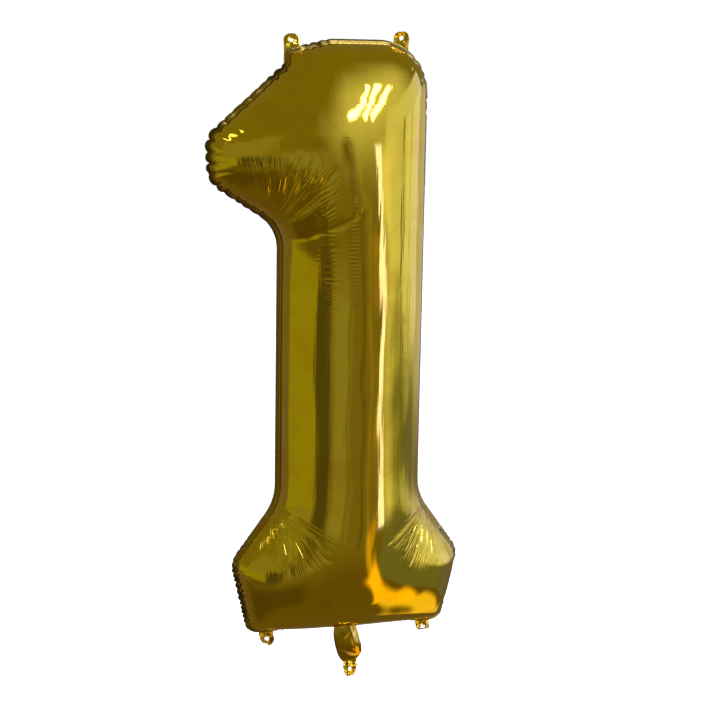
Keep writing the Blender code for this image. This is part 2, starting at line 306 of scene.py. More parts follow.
def mesh_object(name: str, points: np.ndarray, faces: np.ndarray, material: bpy.types.Material,
                seam: np.ndarray | None = None) -> bpy.types.Object:
    """Makes an object at the origin from points in the part's own frame.

    Args:
        name: The piece's name.
        points: The points.
        faces: The faces, turned outwards.
        material: The finish.
        seam: The run along the weld and the distance from it at each face corner, if any.

    Returns:
        The object, linked to the scene.
    """
    mesh = bpy.data.meshes.new(name)
    mesh.from_pydata(points.tolist(), [], faces.tolist())
    mesh.materials.append(material)
    mesh.shade_smooth()
    if seam is not None:
        layer = mesh.uv_layers.new(name="seam")
        layer.data.foreach_set("uv", seam.astype(np.float32).ravel())
    made = bpy.data.objects.new(name, mesh)
    bpy.context.scene.collection.objects.link(made)
    return made


def baked(piece: bpy.types.Object) -> bpy.types.Object:
    """Turns a piece's modifiers into plain mesh."""
    bpy.context.view_layer.update()
    graph = bpy.context.evaluated_depsgraph_get()
    mesh = bpy.data.meshes.new_from_object(piece.evaluated_get(graph))
    mesh.name = piece.name
    piece.modifiers.clear()
    piece.data = mesh
    return piece


def thickened(piece: bpy.types.Object, wall: float, offset: float = -1.0) -> bpy.types.Object:
    """Gives an open film its thickness and bakes it."""
    shell = piece.modifiers.new("Film", "SOLIDIFY")
    shell.thickness = wall
    shell.offset = offset
    shell.use_rim = True
    return baked(piece)


class Tree:
    """Builds a node tree by name, one node at a time."""

    def __init__(self, tree: bpy.types.NodeTree) -> None:
        """Keeps the tree that the nodes go into."""
        self.tree = tree

    def add(self, kind: str, settings: dict | None = None, **inputs: object) -> bpy.types.Node:
        """Adds a node.

        Args:
            kind: The node's type.
            settings: Its own properties.
            inputs: Sockets by name, with spaces as underscores, or by place as _0, _1: a value,
                or another node's output.

        Returns:
            The node.
        """
        node = self.tree.nodes.new(kind)
        for key, value in (settings or {}).items():
            setattr(node, key, value)
        for key, value in inputs.items():
            name = key.replace("_", " ").strip()
            socket = node.inputs[int(name)] if name.isdigit() else node.inputs[name]
            if isinstance(value, bpy.types.NodeSocket):
                self.tree.links.new(value, socket)
            else:
                socket.default_value = value
        return node

    def math(self, operation: str, *values: object) -> bpy.types.NodeSocket:
        """The output of a Math node."""
        inputs = {f"_{k}": value for k, value in enumerate(values)}
        return self.add("ShaderNodeMath", {"operation": operation}, **inputs).outputs[0]

    def eased(self, value: object, low: float, high: float, start: object = 0.0,
              end: object = 1.0) -> bpy.types.NodeSocket:
        """A value eased between two ends over a range."""
        node = self.add("ShaderNodeMapRange", {"interpolation_type": "SMOOTHSTEP"}, Value=value)
        for name, put in (("From Min", low), ("From Max", high), ("To Min", start), ("To Max", end)):
            if isinstance(put, bpy.types.NodeSocket):
                self.tree.links.new(put, node.inputs[name])
            else:
                node.inputs[name].default_value = put
        return node.outputs[0]

    def mixed(self, factor: object, first: object, second: object) -> bpy.types.NodeSocket:
        """Two colours mixed."""
        node = self.tree.nodes.new("ShaderNodeMix")
        node.data_type = "RGBA"
        colours = [socket for socket in node.inputs if socket.type == "RGBA"]
        for socket, value in ((node.inputs[0], factor), (colours[0], first), (colours[1], second)):
            if isinstance(value, bpy.types.NodeSocket):
                self.tree.links.new(value, socket)
            else:
                socket.default_value = value
        return next(socket for socket in node.outputs if socket.type == "RGBA")


def group(name: str, inputs: dict[str, tuple], outputs: dict[str, str]) -> tuple[Tree, dict, Callable]:
    """Starts a shader node group.

    Args:
        name: The group's name.
        inputs: Each input's name, with its kind and its default value.
        outputs: Each output's name, with its kind.

    Returns:
        The group's tree, its inputs by name, and a function that joins a socket to an output.
    """
    made = bpy.data.node_groups.new(name, "ShaderNodeTree")
    for key, (kind, value) in inputs.items():
        socket = made.interface.new_socket(key, in_out="INPUT", socket_type=f"NodeSocket{kind}")
        if value is not None:
            socket.default_value = value
    for key, kind in outputs.items():
        made.interface.new_socket(key, in_out="OUTPUT", socket_type=f"NodeSocket{kind}")
    entry = made.nodes.new("NodeGroupInput")
    leave = made.nodes.new("NodeGroupOutput")

    def put(key: str, socket: bpy.types.NodeSocket) -> None:
        """Joins a socket to one of the group's outputs."""
        made.links.new(socket, leave.inputs[key])

    return Tree(made), {key: entry.outputs[key] for key in inputs}, put


def set_inputs(modifier: bpy.types.Modifier, tree: bpy.types.NodeTree, values: dict) -> None:
    """Sets a modifier's named inputs by their socket identifiers.

    Args:
        modifier: The Geometry Nodes modifier.
        tree: Its node tree.
        values: The values by the inputs' names.
    """
    sockets = {item.name: item.identifier for item in tree.interface.items_tree if item.in_out == "INPUT"}
    for name, value in values.items():
        modifier[sockets[name]] = value


def geometry_tree(name: str, inputs: dict[str, tuple]) -> tuple[Tree, dict, Callable]:
    """Starts a Geometry Nodes tree that ends in Realize Instances and Set Material.

    Args:
        name: The tree's name.
        inputs: Each input's name, with its kind and its default value.

    Returns:
        The tree, its inputs by name, and a function that takes the finished geometry.
    """
    made = bpy.data.node_groups.new(name, "GeometryNodeTree")
    made.interface.new_socket("Geometry", in_out="INPUT", socket_type="NodeSocketGeometry")
    for key, (kind, value) in inputs.items():
        socket = made.interface.new_socket(key, in_out="INPUT", socket_type=f"NodeSocket{kind}")
        if value is not None:
            socket.default_value = value
    made.interface.new_socket("Material", in_out="INPUT", socket_type="NodeSocketMaterial")
    made.interface.new_socket("Geometry", in_out="OUTPUT", socket_type="NodeSocketGeometry")
    entry = made.nodes.new("NodeGroupInput")
    leave = made.nodes.new("NodeGroupOutput")

    def put(socket: bpy.types.NodeSocket) -> None:
        """Realizes the geometry and gives it its material."""
        plain = made.nodes.new("GeometryNodeRealizeInstances")
        coat = made.nodes.new("GeometryNodeSetMaterial")
        made.links.new(socket, plain.inputs[0])
        made.links.new(plain.outputs[0], coat.inputs["Geometry"])
        made.links.new(entry.outputs["Material"], coat.inputs["Material"])
        made.links.new(coat.outputs[0], leave.inputs["Geometry"])

    names = ["Geometry", *inputs]
    return Tree(made), {key: entry.outputs[key] for key in names}, put


def blow_up_tree() -> bpy.types.NodeTree:
    """Swells a flat sheet by its stored lift, to one side of the weld's plane."""
    tree, given, put = geometry_tree("blow_up_film", {
        "Side": ("Float", -1.0), "Ply": ("Float", PLY_OUTSIDE), "Fullness": ("Float", 1.0),
    })
    lift = tree.add("GeometryNodeInputNamedAttribute", {"data_type": "FLOAT"}, Name="lift")
    rise = tree.math("MULTIPLY_ADD", lift.outputs[0], given["Fullness"], given["Ply"])
    shift = tree.add("ShaderNodeCombineXYZ", Y=tree.math("MULTIPLY", rise, given["Side"]))
    moved = tree.add("GeometryNodeSetPosition", Geometry=given["Geometry"], Offset=shift.outputs[0])
    put(moved.outputs[0])
    return tree.tree


def bead_tree() -> bpy.types.NodeTree:
    """Runs a thin round bead along the edges of a mesh."""
    tree, given, put = geometry_tree("weld_bead", {"Radius": ("Float", 0.0005), "Sides": ("Int", 6)})
    line = tree.add("GeometryNodeMeshToCurve", Mesh=given["Geometry"])
    ring = tree.add("GeometryNodeCurvePrimitiveCircle", Resolution=given["Sides"], Radius=given["Radius"])
    tube = tree.add("GeometryNodeCurveToMesh", Curve=line.outputs[0], Profile_Curve=ring.outputs[0])
    round_ = tree.add("GeometryNodeSetShadeSmooth", Geometry=tube.outputs[0])
    put(round_.outputs[0])
    return tree.tree


# ---------------------------------------------------------------------------------------------
# Finishes
# ---------------------------------------------------------------------------------------------


def rgba(colour: Sequence[float]) -> tuple:
    """A colour with full alpha."""
    return (*colour[:3], 1.0)


def film_crinkle_group() -> bpy.types.NodeTree:
    """The fine crinkle and handling marks of metallised film: a height and a smudge mask."""
    tree, given, put = group(
        "film_crinkle",
        {"Vector": ("Vector", None), "Crinkle Scale": ("Float", 260.0), "Smudge Scale": ("Float", 14.0)},
        {"Height": "Float", "Smudge": "Float"},
    )
    fine = tree.add("ShaderNodeTexNoise", Vector=given["Vector"], Scale=given["Crinkle Scale"],
                    Detail=3.0, Roughness=0.55)
    wide_scale = tree.math("MULTIPLY", given["Crinkle Scale"], 0.13)
    wide = tree.add("ShaderNodeTexNoise", Vector=given["Vector"], Scale=wide_scale, Detail=2.0)
    height = tree.math("MULTIPLY_ADD", wide.outputs[0], 3.0, fine.outputs[0])
    smudge = tree.add("ShaderNodeTexNoise", Vector=given["Vector"], Scale=given["Smudge Scale"],
                      Detail=5.0, Roughness=0.62, Distortion=0.6)
    put("Height", height)
    put("Smudge", tree.eased(smudge.outputs[0], 0.42, 0.72))
    return tree.tree


def radial_folds_group() -> bpy.types.NodeTree:
    """Fine folds that spread from a hollow corner of the weld: a height between 0 and 1."""
    tree, given, put = group(
        "radial_folds",
        {"Vector": ("Vector", None), "Centre": ("Vector", None), "Direction": ("Float", 0.0),
         "Spread": ("Float", 0.7), "Near": ("Float", 0.03), "Far": ("Float", 0.11), "Folds": ("Float", 26.0)},
        {"Height": "Float"},
    )
    away = tree.add("ShaderNodeVectorMath", {"operation": "SUBTRACT"}, _0=given["Vector"], _1=given["Centre"])
    parts = tree.add("ShaderNodeSeparateXYZ", Vector=away.outputs[0])
    flat = tree.add("ShaderNodeCombineXYZ", X=parts.outputs[0], Y=parts.outputs[2])
    radius = tree.add("ShaderNodeVectorMath", {"operation": "LENGTH"}, _0=flat.outputs[0]).outputs["Value"]
    turned = tree.add("ShaderNodeVectorRotate", {"rotation_type": "Z_AXIS"}, Vector=flat.outputs[0],
                      Angle=tree.math("MULTIPLY", given["Direction"], -1.0))
    spokes = tree.add("ShaderNodeSeparateXYZ", Vector=turned.outputs[0])
    angle = tree.math("ARCTAN2", spokes.outputs[1], spokes.outputs[0])
    place = tree.add("ShaderNodeCombineXYZ", X=tree.math("MULTIPLY", angle, given["Folds"]),
                     Y=tree.math("MULTIPLY", radius, 14.0), Z=tree.math("MULTIPLY", parts.outputs[1], 9.0))
    noise = tree.add("ShaderNodeTexNoise", Vector=place.outputs[0], Scale=1.0, Detail=1.0)
    ridge = tree.math("ABSOLUTE", tree.math("SUBTRACT", noise.outputs[0], 0.5))
    ridge = tree.math("MINIMUM", tree.math("MULTIPLY", ridge, 5.0), 1.0)
    start = tree.math("MULTIPLY", given["Near"], 0.5)
    inner = tree.math("DIVIDE", tree.math("SUBTRACT", radius, start), start)
    outer = tree.math("DIVIDE", tree.math("SUBTRACT", given["Far"], radius), given["Near"])
    side = tree.math("DIVIDE", tree.math("ABSOLUTE", angle), given["Spread"])
    mask = tree.math("MULTIPLY", tree.eased(inner, 0.0, 1.0), tree.eased(outer, 0.0, 1.0))
    mask = tree.math("MULTIPLY", mask, tree.eased(side, 0.75, 1.0, 1.0, 0.0))
    put("Height", tree.math("MULTIPLY", ridge, mask))
    return tree.tree


def heat_seal_group() -> bpy.types.NodeTree:
    """The fine crossed ribs that the sealing jaws press into the flat rim."""
    tree, given, put = group(
        "heat_seal",
        {"Seam": ("Vector", None), "Rib Pitch": ("Float", 0.0011), "Rim Width": ("Float", RIM_WIDTH)},
        {"Height": "Float", "Rim": "Float"},
    )
    place = tree.add("ShaderNodeSeparateXYZ", Vector=given["Seam"])
    run, out = place.outputs[0], place.outputs[1]
    turns = tree.math("DIVIDE", 2 * math.pi, given["Rib Pitch"])
    waves = []
    for sign in (1.0, -1.0):
        slanted = tree.math("MULTIPLY_ADD", out, sign, run)
        waves.append(tree.math("SINE", tree.math("MULTIPLY", slanted, turns)))
    ribs = tree.math("MULTIPLY", waves[0], waves[1])
    rim = tree.eased(out, -0.0006, -0.0001, 1.0, 0.0)
    edge = tree.eased(out, -RIM_WIDTH, -RIM_WIDTH + 0.0008)
    inside = tree.math("MULTIPLY", rim, edge)
    put("Height", tree.math("MULTIPLY", ribs, inside))
    put("Rim", rim)
    return tree.tree


@dataclass(frozen=True)
class FoldFan:
    """Where fine folds spread from a hollow corner: its centre, its middle direction in degrees,
    how far it spreads to each side, how far it reaches and how deep it is."""

    x: float
    z: float
    direction: float
    spread: float
    near: float
    far: float
    depth: float
    folds: float = 26.0


FANS: tuple[FoldFan, ...] = (
    FoldFan(-0.128, 0.596, 76.0, 44.0, 0.045, 0.135, 0.00042, 30.0),
    FoldFan(-0.116, 0.210, -70.0, 46.0, 0.040, 0.115, 0.00040, 26.0),
    FoldFan(0.116, 0.210, -112.0, 46.0, 0.040, 0.115, 0.00042, 22.0),
)


@dataclass(frozen=True)
class GoldFoil:
    """Gold metallised film: a mirror with fine crinkle, smudges, folds and a pressed rim, with painted shade
    darkening the rim, most where the film is gathered.
    """

    name: str
    roughness: float = 0.055
    smudged: float = 0.13
    crinkle_scale: float = 260.0
    crinkle_depth: float = 0.00002
    rib_depth: float = 0.00003
    draw_depth: float = 0.00008
    pack_depth: float = 0.0
    has_rim: bool = True
    fans: tuple[FoldFan, ...] = ()
    tint: tuple[float, float, float] = Tint.GOLD.value
    origin: tuple[float, float, float] = (0.0, 0.0, 0.0)

    def make(self, crinkle: bpy.types.NodeTree, seal: bpy.types.NodeTree,
             folds: bpy.types.NodeTree) -> bpy.types.Material:
        """Builds the material.

        Args:
            crinkle: The film crinkle group.
            seal: The heat seal group.
            folds: The radial folds group.

        Returns:
            The material.
        """
        material = bpy.data.materials.new(self.name)
        material.use_nodes = True
        material.diffuse_color = rgba(Tint.GOLD.value)
        tree = Tree(material.node_tree)
        shader = material.node_tree.nodes["Principled BSDF"]
        where = tree.add("ShaderNodeTexCoord")
        marks = tree.add("ShaderNodeGroup", {"node_tree": crinkle}, Vector=where.outputs["Object"],
                         Crinkle_Scale=self.crinkle_scale)
        smudge = marks.outputs["Smudge"]
        height = tree.math("MULTIPLY", marks.outputs["Height"], self.crinkle_depth)
        drawn = tree.add("ShaderNodeMapping", Vector=where.outputs["Object"], Scale=(1.0, 1.0, 0.03))
        lines = tree.add("ShaderNodeTexNoise", Vector=drawn.outputs[0], Scale=150.0, Detail=2.0)
        level = tree.add("ShaderNodeSeparateXYZ", Vector=where.outputs["Object"]).outputs[2]
        foot = self.origin[2]
        column = tree.math("MULTIPLY", tree.eased(level, foot + 0.15, foot + 0.24),
                           tree.eased(level, foot + 0.66, foot + 0.76, 1.0, 0.0))
        lines_here = tree.math("MULTIPLY", tree.math("SUBTRACT", lines.outputs[0], 0.5), column)
        height = tree.math("MULTIPLY_ADD", lines_here, self.draw_depth * 3, height)
        if self.pack_depth:
            parts = tree.add("ShaderNodeSeparateXYZ", Vector=where.outputs["Object"])
            for across, pitch in ((parts.outputs[0], 0.021), (parts.outputs[2], 0.0215)):
                away = tree.math("PINGPONG", across, pitch)
                line = tree.math("MULTIPLY", tree.eased(away, 0.0, 0.0016, 1.0, 0.0),
                                 tree.eased(level, foot + 0.66, foot + 0.74))
                height = tree.math("MULTIPLY_ADD", line, self.pack_depth, height)
        for fan_ in self.fans:
            centre = (fan_.x + self.origin[0], 0.0, fan_.z + self.origin[2])
            spread = tree.add("ShaderNodeGroup", {"node_tree": folds}, Vector=where.outputs["Object"],
                              Centre=centre, Direction=math.radians(fan_.direction),
                              Spread=math.radians(fan_.spread), Near=fan_.near, Far=fan_.far,
                              Folds=fan_.folds)
            height = tree.math("MULTIPLY_ADD", spread.outputs[0], fan_.depth, height)
        colour = tree.mixed(smudge, rgba(self.tint), rgba(Tint.WORN_GOLD.value))
        dulled = smudge
        if self.has_rim:
            uv = tree.add("ShaderNodeUVMap", {"uv_map": "seam"})
            pressed = tree.add("ShaderNodeGroup", {"node_tree": seal}, Seam=uv.outputs[0])
            ribs = tree.math("MULTIPLY", pressed.outputs["Height"], self.rib_depth)
            height = tree.math("ADD", height, ribs)
            rim = pressed.outputs["Rim"]
            dulled = tree.math("MAXIMUM", smudge, rim)
            # painted shade: the rim's colour is darkened, and nearly black where the film is gathered into
            # frills
            gathered = tree.add("ShaderNodeAttribute", {"attribute_name": "gather"}).outputs["Fac"]
            shade = tree.mixed(gathered, rgba(Tint.RIM.value), rgba(Tint.GATHERED_RIM.value))
            colour = tree.mixed(tree.math("MULTIPLY", rim, 0.9), colour, shade)
        bump = tree.add("ShaderNodeBump", Height=height, Strength=1.0, Distance=1.0)
        links = material.node_tree.links
        links.new(colour, shader.inputs["Base Color"])
        rough = tree.eased(dulled, 0.0, 1.0, self.roughness, self.smudged)
        links.new(rough, shader.inputs["Roughness"])
        links.new(bump.outputs[0], shader.inputs["Normal"])
        shader.inputs["Metallic"].default_value = 1.0
        return material


@dataclass(frozen=True)
class ClearFilm:
    """Clear polythene film of the valve, with faint draw lines."""

    name: str = "valve_film_clear"
    roughness: float = 0.22

    def make(self, crinkle: bpy.types.NodeTree) -> bpy.types.Material:
        """Builds the material.

        Args:
            crinkle: The film crinkle group.

        Returns:
            The material.
        """
        material = bpy.data.materials.new(self.name)
        material.use_nodes = True
        tree = Tree(material.node_tree)
        shader = material.node_tree.nodes["Principled BSDF"]
        where = tree.add("ShaderNodeTexCoord")
        drawn = tree.add("ShaderNodeMapping", Vector=where.outputs["Object"], Scale=(1.0, 1.0, 0.08))
        marks = tree.add("ShaderNodeGroup", {"node_tree": crinkle}, Vector=drawn.outputs[0],
                         Crinkle_Scale=420.0)
        height = tree.math("MULTIPLY", marks.outputs["Height"], 0.00004)
        bump = tree.add("ShaderNodeBump", Height=height, Strength=1.0, Distance=1.0)
        links = material.node_tree.links
        links.new(bump.outputs[0], shader.inputs["Normal"])
        links.new(tree.eased(marks.outputs["Smudge"], 0.0, 1.0, self.roughness, 0.4),
                  shader.inputs["Roughness"])
        shader.inputs["Base Color"].default_value = rgba(Tint.CLEAR.value)
        shader.inputs["Transmission Weight"].default_value = 0.9
        shader.inputs["IOR"].default_value = 1.49
        return material


# ---------------------------------------------------------------------------------------------
# The two foil sheets
# ---------------------------------------------------------------------------------------------


@dataclass(frozen=True)
class DigitOutline:
    """The digit's outline along the weld, drawn about the column's centre line from the rim's foot."""

    height: float = 0.857
    column_width: float = 0.2075
    base_width: float = 0.339
    foot_width: float = 0.291
    shoulder_height: float = 0.1035
    flare_rise: float = 0.0905
    flag_reach: float = 0.207
    nose_drop: float = 0.134
    nose_height: float = 0.059
    nose_inset: float = 0.0035
    underside_drop: float = 0.2565
    crown_reach: float = 0.036
    top_left_reach: float = 0.095
    top_left_drop: float = 0.015
    top_left_side: float = 0.017

    @property
    def top(self) -> float:
        """The weld's highest level."""
        return RIM_WIDTH + self.height

    def corners(self) -> list[Corner]:
        """The weld line's corners, counter-clockwise seen from the front."""
        column, shoulder, foot = self.column_width / 2, self.base_width / 2, self.foot_width / 2
        flare = RIM_WIDTH + self.shoulder_height + self.flare_rise
        nose = self.top - self.nose_drop
        left = self.top - self.top_left_drop
        return [
            Corner(-foot, RIM_WIDTH, 0.012),
            Corner(foot, RIM_WIDTH, 0.012),
            Corner(shoulder, RIM_WIDTH + self.shoulder_height, 0.028),
            Corner(column, flare, 0.083),
            Corner(column, self.top, 0.0765),
            Corner(-self.crown_reach, self.top, 0.080),
            Corner(-self.top_left_reach, left, 0.005),
            Corner(-self.top_left_reach, left - self.top_left_side, 0.012),
            Corner(-self.flag_reach, nose, 0.032),
            Corner(self.nose_inset - self.flag_reach, nose - self.nose_height, 0.032),
            Corner(-column, self.top - self.underside_drop, 0.060),
            Corner(-column, flare, 0.083),
            Corner(-shoulder, RIM_WIDTH + self.shoulder_height, 0.028),
        ]

    def weld(self, step: float) -> Loop:
        """The weld line, divided evenly."""
        return rounded(self.corners(), step)


@dataclass(frozen=True)
class Gather:
    """A place on the weld where the film is gathered, and how hard."""

    x: float
    z: float
    reach: float
    weight: float


@dataclass(frozen=True)
class Crease:
    """One sharp crease across the film, from start to end in the weld's plane."""

    start: tuple[float, float]
    end: tuple[float, float]
    depth: float = 0.0006
    width: float = 0.0022
    bow: float = 0.0


@dataclass(frozen=True)
class Ripples:
    """A row of short ripples along a line."""

    start: tuple[float, float]
    end: tuple[float, float]
    half_width: float = 0.009
    pitch: float = 0.0072
    depth: float = 0.0003
    slant: float = 0.0


@dataclass(frozen=True)
class Dent:
    """A shallow hollow where the film is drawn in beside a hollow corner of the weld."""

    x: float
    z: float
    reach_x: float
    reach_up: float
    reach_down: float
    depth: float


@dataclass(frozen=True)
class FineZone:
    """A round part of the sheet whose mesh is fine enough for creases."""

    x: float
    z: float
    reach_x: float
    reach_z: float

    def holds(self, points: np.ndarray) -> np.ndarray:
        """Which points lie in the zone."""
        away = ((points[:, 0] - self.x) / self.reach_x) ** 2 + ((points[:, 1] - self.z) / self.reach_z) ** 2
        return away < 1


@dataclass
class FoilEnvelope:
    """The front and rear foil sheets, blown up from one outline and puckered along their weld."""

    outline: DigitOutline = field(default_factory=DigitOutline)
    origin: Vector = field(default_factory=Vector)
    seam_step: float = 0.0022
    rim_rows: int = 3
    inner_rows: int = 7
    row_growth: float = 0.00036
    coarse_step: float = 0.0050
    fine_step: float = 0.00135
    lobe_pitch: float = 0.0150
    foot_pitch: float = 0.0085
    lobe_depth: float = 0.15
    valley_pull: float = 0.0048
    rim_lean: float = 0.0026
    frill_depth: float = 0.0032
    frill_reach: float = 0.012
    slack_waves: int = 26
    slack_share: float = 0.0011
    bead_radius: float = 0.00032
    sharp_angle: float = 62.0
    fullness: float = 1.0
    seed: int = 7
    gathers: tuple[Gather, ...] = (
        Gather(-0.205, 0.700, 0.080, 1.0),
        Gather(-0.150, 0.785, 0.060, 0.30),
        Gather(-0.112, 0.822, 0.026, 0.85),
        Gather(-0.058, 0.860, 0.034, 0.55),
        Gather(0.095, 0.825, 0.030, 0.55),
        Gather(0.104, 0.775, 0.024, 0.55),
        Gather(-0.150, 0.640, 0.050, 0.40),
        Gather(-0.160, 0.060, 0.062, 0.75),
        Gather(-0.150, 0.120, 0.040, 0.35),
        Gather(0.160, 0.060, 0.060, 0.45),
        Gather(0.150, 0.120, 0.040, 0.45),
        Gather(-0.080, 0.006, 0.080, 0.25),
        Gather(0.080, 0.006, 0.080, 0.25),
    )
    dents: tuple[Dent, ...] = (
        Dent(0.074, 0.132, 0.032, 0.032, 0.060, 0.0092),
        Dent(-0.080, 0.140, 0.028, 0.026, 0.045, 0.0030),
        Dent(-0.095, 0.668, 0.024, 0.030, 0.030, 0.0018),
    )
    zones: tuple[FineZone, ...] = (
        FineZone(-0.098, 0.660, 0.066, 0.058),
        FineZone(-0.046, 0.575, 0.032, 0.105),
        FineZone(-0.084, 0.150, 0.054, 0.048),
        FineZone(0.084, 0.150, 0.054, 0.048),
    )

    def __post_init__(self) -> None:
        """Lays the sheet out flat and finds how far it swells."""
        self.blow_up = blow_up_tree()
        self.weld = self.outline.weld(self.seam_step)
        self.lay_out()
        self.choose_lobes()

    def lay_out(self) -> None:
        """Makes the flat mesh, and finds each point's place along and away from the weld."""
        weld = self.weld
        outward = [-RIM_WIDTH * k / self.rim_rows for k in range(self.rim_rows, 0, -1)]
        inward = [self.row_growth * k * k for k in range(1, self.inner_rows + 1)]
        rings = [weld.beside(outward[0]), weld.points]
        rows = [weld.beside(inset) for inset in outward[1:]]
        for inset in inward:
            row = weld.beside(inset)
            row = row[weld.holds(row)]
            rows.append(row[weld.nearest(row)[0] > inset * 0.985])
        low, high = weld.points.min(0), weld.points.max(0)
        coarse = hexagonal(low, high, self.coarse_step)
        fine = hexagonal(low, high, self.fine_step)
        in_fine = np.any([zone.holds(fine) for zone in self.zones], axis=0)
        in_coarse = ~np.any([zone.holds(coarse) for zone in self.zones], axis=0)
        for grid, step in ((coarse[in_coarse], self.coarse_step), (fine[in_fine], self.fine_step)):
            grid = grid[weld.holds(grid)]
            rows.append(grid[weld.nearest(grid)[0] > inward[-1] + step * 0.6])
        self.flat, self.triangles = triangulated(rings, rows)
        gap, self.run = weld.nearest(self.flat)
        outside = ~weld.holds(self.flat) & (gap > 1e-6)
        self.gap = np.where(outside, -gap, gap)
        held = self.gap < 1e-6
        lift = membrane_lift(self.flat, self.triangles, held)
        self.height = np.sqrt(2 * np.maximum(lift, 0))
        self.film_run = np.where(self.gap < 0, self.gap, np.hypot(self.gap, self.height))

    def gather_at(self, run: np.ndarray) -> np.ndarray:
        """How hard the film is gathered at each run along the weld."""
        table = self.weld.run
        amount = np.full(len(table), 0.05)
        for gather in self.gathers:
            away = np.hypot(self.weld.points[:, 0] - gather.x, self.weld.points[:, 1] - gather.z)
            pulled = gather.weight * (1 - smooth_step(away, gather.reach * 0.4, gather.reach))
            amount = np.maximum(amount, pulled)
        return np.interp(run, table, amount * self.free_at_weld(), period=self.weld.length)

    def free_at_weld(self) -> np.ndarray:
        """0 where a tab or the neck holds the rim flat, and 1 away from them, along the weld."""
        free = np.ones(len(self.weld.points))
        for x, z, reach in self.calm_places:
            away = np.hypot(self.weld.points[:, 0] - x, self.weld.points[:, 1] - z)
            free *= smooth_step(away, reach * 0.9, reach * 1.6)
        return free

    @property
    def calm_places(self) -> tuple[tuple[float, float, float], ...]:
        """Where tabs and the neck leave the rim, which stays flat there."""
        top, foot = self.outline.top, self.outline.foot_width / 2 - 0.024
        return (
            (0.004 - self.outline.top_left_reach, top - self.outline.top_left_drop, 0.013),
            (self.outline.column_width / 2 - 0.036, top, 0.014),
            (-foot, 0.0, 0.014),
            (foot, 0.0, 0.014),
            (0.0, 0.0, 0.020),
        )

    def choose_lobes(self) -> None:
        """Divides the weld into lobes of uneven width between its valleys."""
        dice = np.random.default_rng(self.seed)
        ends = [0.0]
        while ends[-1] < self.weld.length:
            level = np.interp(ends[-1], self.weld.run, self.weld.points[:, 1])
            pitch = self.lobe_pitch if level > 0.4 else self.foot_pitch
            ends.append(ends[-1] + pitch * dice.uniform(0.68, 1.28))
        ends = np.array(ends) * self.weld.length / ends[-1]
        self.valleys = ends
        self.lean = dice.choice([-1.0, 1.0], len(ends)) * dice.uniform(0.4, 1.0, len(ends))

    def lobe_phase(self, run: np.ndarray) -> tuple[np.ndarray, np.ndarray]:
        """Each run's lobe, and its share across that lobe."""
        lobe = np.clip(np.searchsorted(self.valleys, run, side="right") - 1, 0, len(self.valleys) - 2)
        width = self.valleys[lobe + 1] - self.valleys[lobe]
        return lobe, (run - self.valleys[lobe]) / width

    def frill(self) -> np.ndarray:
        """How the rim frills where the film is gathered: each point's shift (x, y, z), the same
        for both sheets."""
        lobe, phase = self.lobe_phase(self.run)
        amount = self.gather_at(self.run)
        crest = np.sin(np.pi * phase)
        lean = self.lean[lobe]
        flange = np.clip(-self.gap / RIM_WIDTH, 0, 1)
        inside = np.exp(-np.maximum(self.film_run, 0) / self.frill_reach)
        across = np.where(self.gap < 0, 0.45 + 0.55 * flange, 0.45 * inside)
        free = np.interp(self.run, self.weld.run, self.free_at_weld(), period=self.weld.length)
        shift_y = self.frill_depth * amount * lean * crest * across
        shift_y += self.rim_lean * flange**1.5 * free
        pull = self.valley_pull * amount * (0.85 - np.sqrt(crest)) * np.where(self.gap < 0, 1.0, inside)
        way = np.stack([np.interp(self.run, self.weld.run, self.weld.normals[:, k],
                                  period=self.weld.length) for k in (0, 1)], axis=1)
        return np.stack([-way[:, 0] * pull, shift_y, -way[:, 1] * pull], axis=1)

    def lobes(self, dice: np.random.Generator) -> np.ndarray:
        """How far the gathered film swells out between the valleys, along the surface's normal."""
        lobe, phase = self.lobe_phase(self.run)
        width = self.valleys[lobe + 1] - self.valleys[lobe]
        amount = self.gather_at(self.run)
        reach = dice.uniform(0.35, 1.0, len(self.valleys)) ** 2 * 0.050 + 0.009
        near_end = np.where(phase < 0.5, lobe, lobe + 1)
        crest = 1 - np.abs(2 * phase - 1) ** 2.4
        away = np.maximum(self.film_run, 0)
        far = reach[near_end] * (0.35 + 0.65 * smooth_step(self.flat[:, 1], 0.15, 0.40))
        fade = smooth_step(away, 0.0, 0.006) * np.exp(-away / far)
        return self.lobe_depth * width * amount * (crest - 0.72) * fade * (self.gap > 0)

    def crease_field(self, creases: Sequence[Crease]) -> np.ndarray:
        """The depth of a set of creases at each point of the sheet."""
        total = np.zeros(len(self.flat))
        for crease in creases:
            start, end = np.array(crease.start), np.array(crease.end)
            length = np.linalg.norm(end - start)
            along = (end - start) / length
            away = self.flat - start
            share = away @ along / length
            inside = np.clip(share, 0, 1)
            offset = away @ np.array([-along[1], along[0]]) - crease.bow * length * 4 * inside * (1 - inside)
            taper = np.sqrt(np.clip(np.sin(np.pi * inside), 0, 1)) * (share > 0) * (share < 1)
            total -= crease.depth * taper * np.exp(-np.abs(offset) / crease.width)
        return total

    def ripple_field(self, rows: Sequence[Ripples], dice: np.random.Generator) -> np.ndarray:
        """The height of rows of short ripples at each point of the sheet."""
        total = np.zeros(len(self.flat))
        for row in rows:
            start, end = np.array(row.start), np.array(row.end)
            length = np.linalg.norm(end - start)
            along = (end - start) / length
            away = self.flat - start
            run = away @ along
            across = away @ np.array([-along[1], along[0]])
            swing = np.interp(run, np.linspace(0, length, 12), dice.uniform(-0.35, 0.35, 12))
            strength = np.interp(run, np.linspace(0, length, 16), dice.uniform(0.15, 1.0, 16))
            wave = np.abs(np.sin(np.pi * ((run + row.slant * across) / row.pitch + swing)))
            fade = smooth_step(run, 0, 0.015) * (1 - smooth_step(run, length - 0.02, length))
            total += row.depth * strength * (wave - 0.6) * fade * np.exp(-((across / row.half_width) ** 2))
        return total

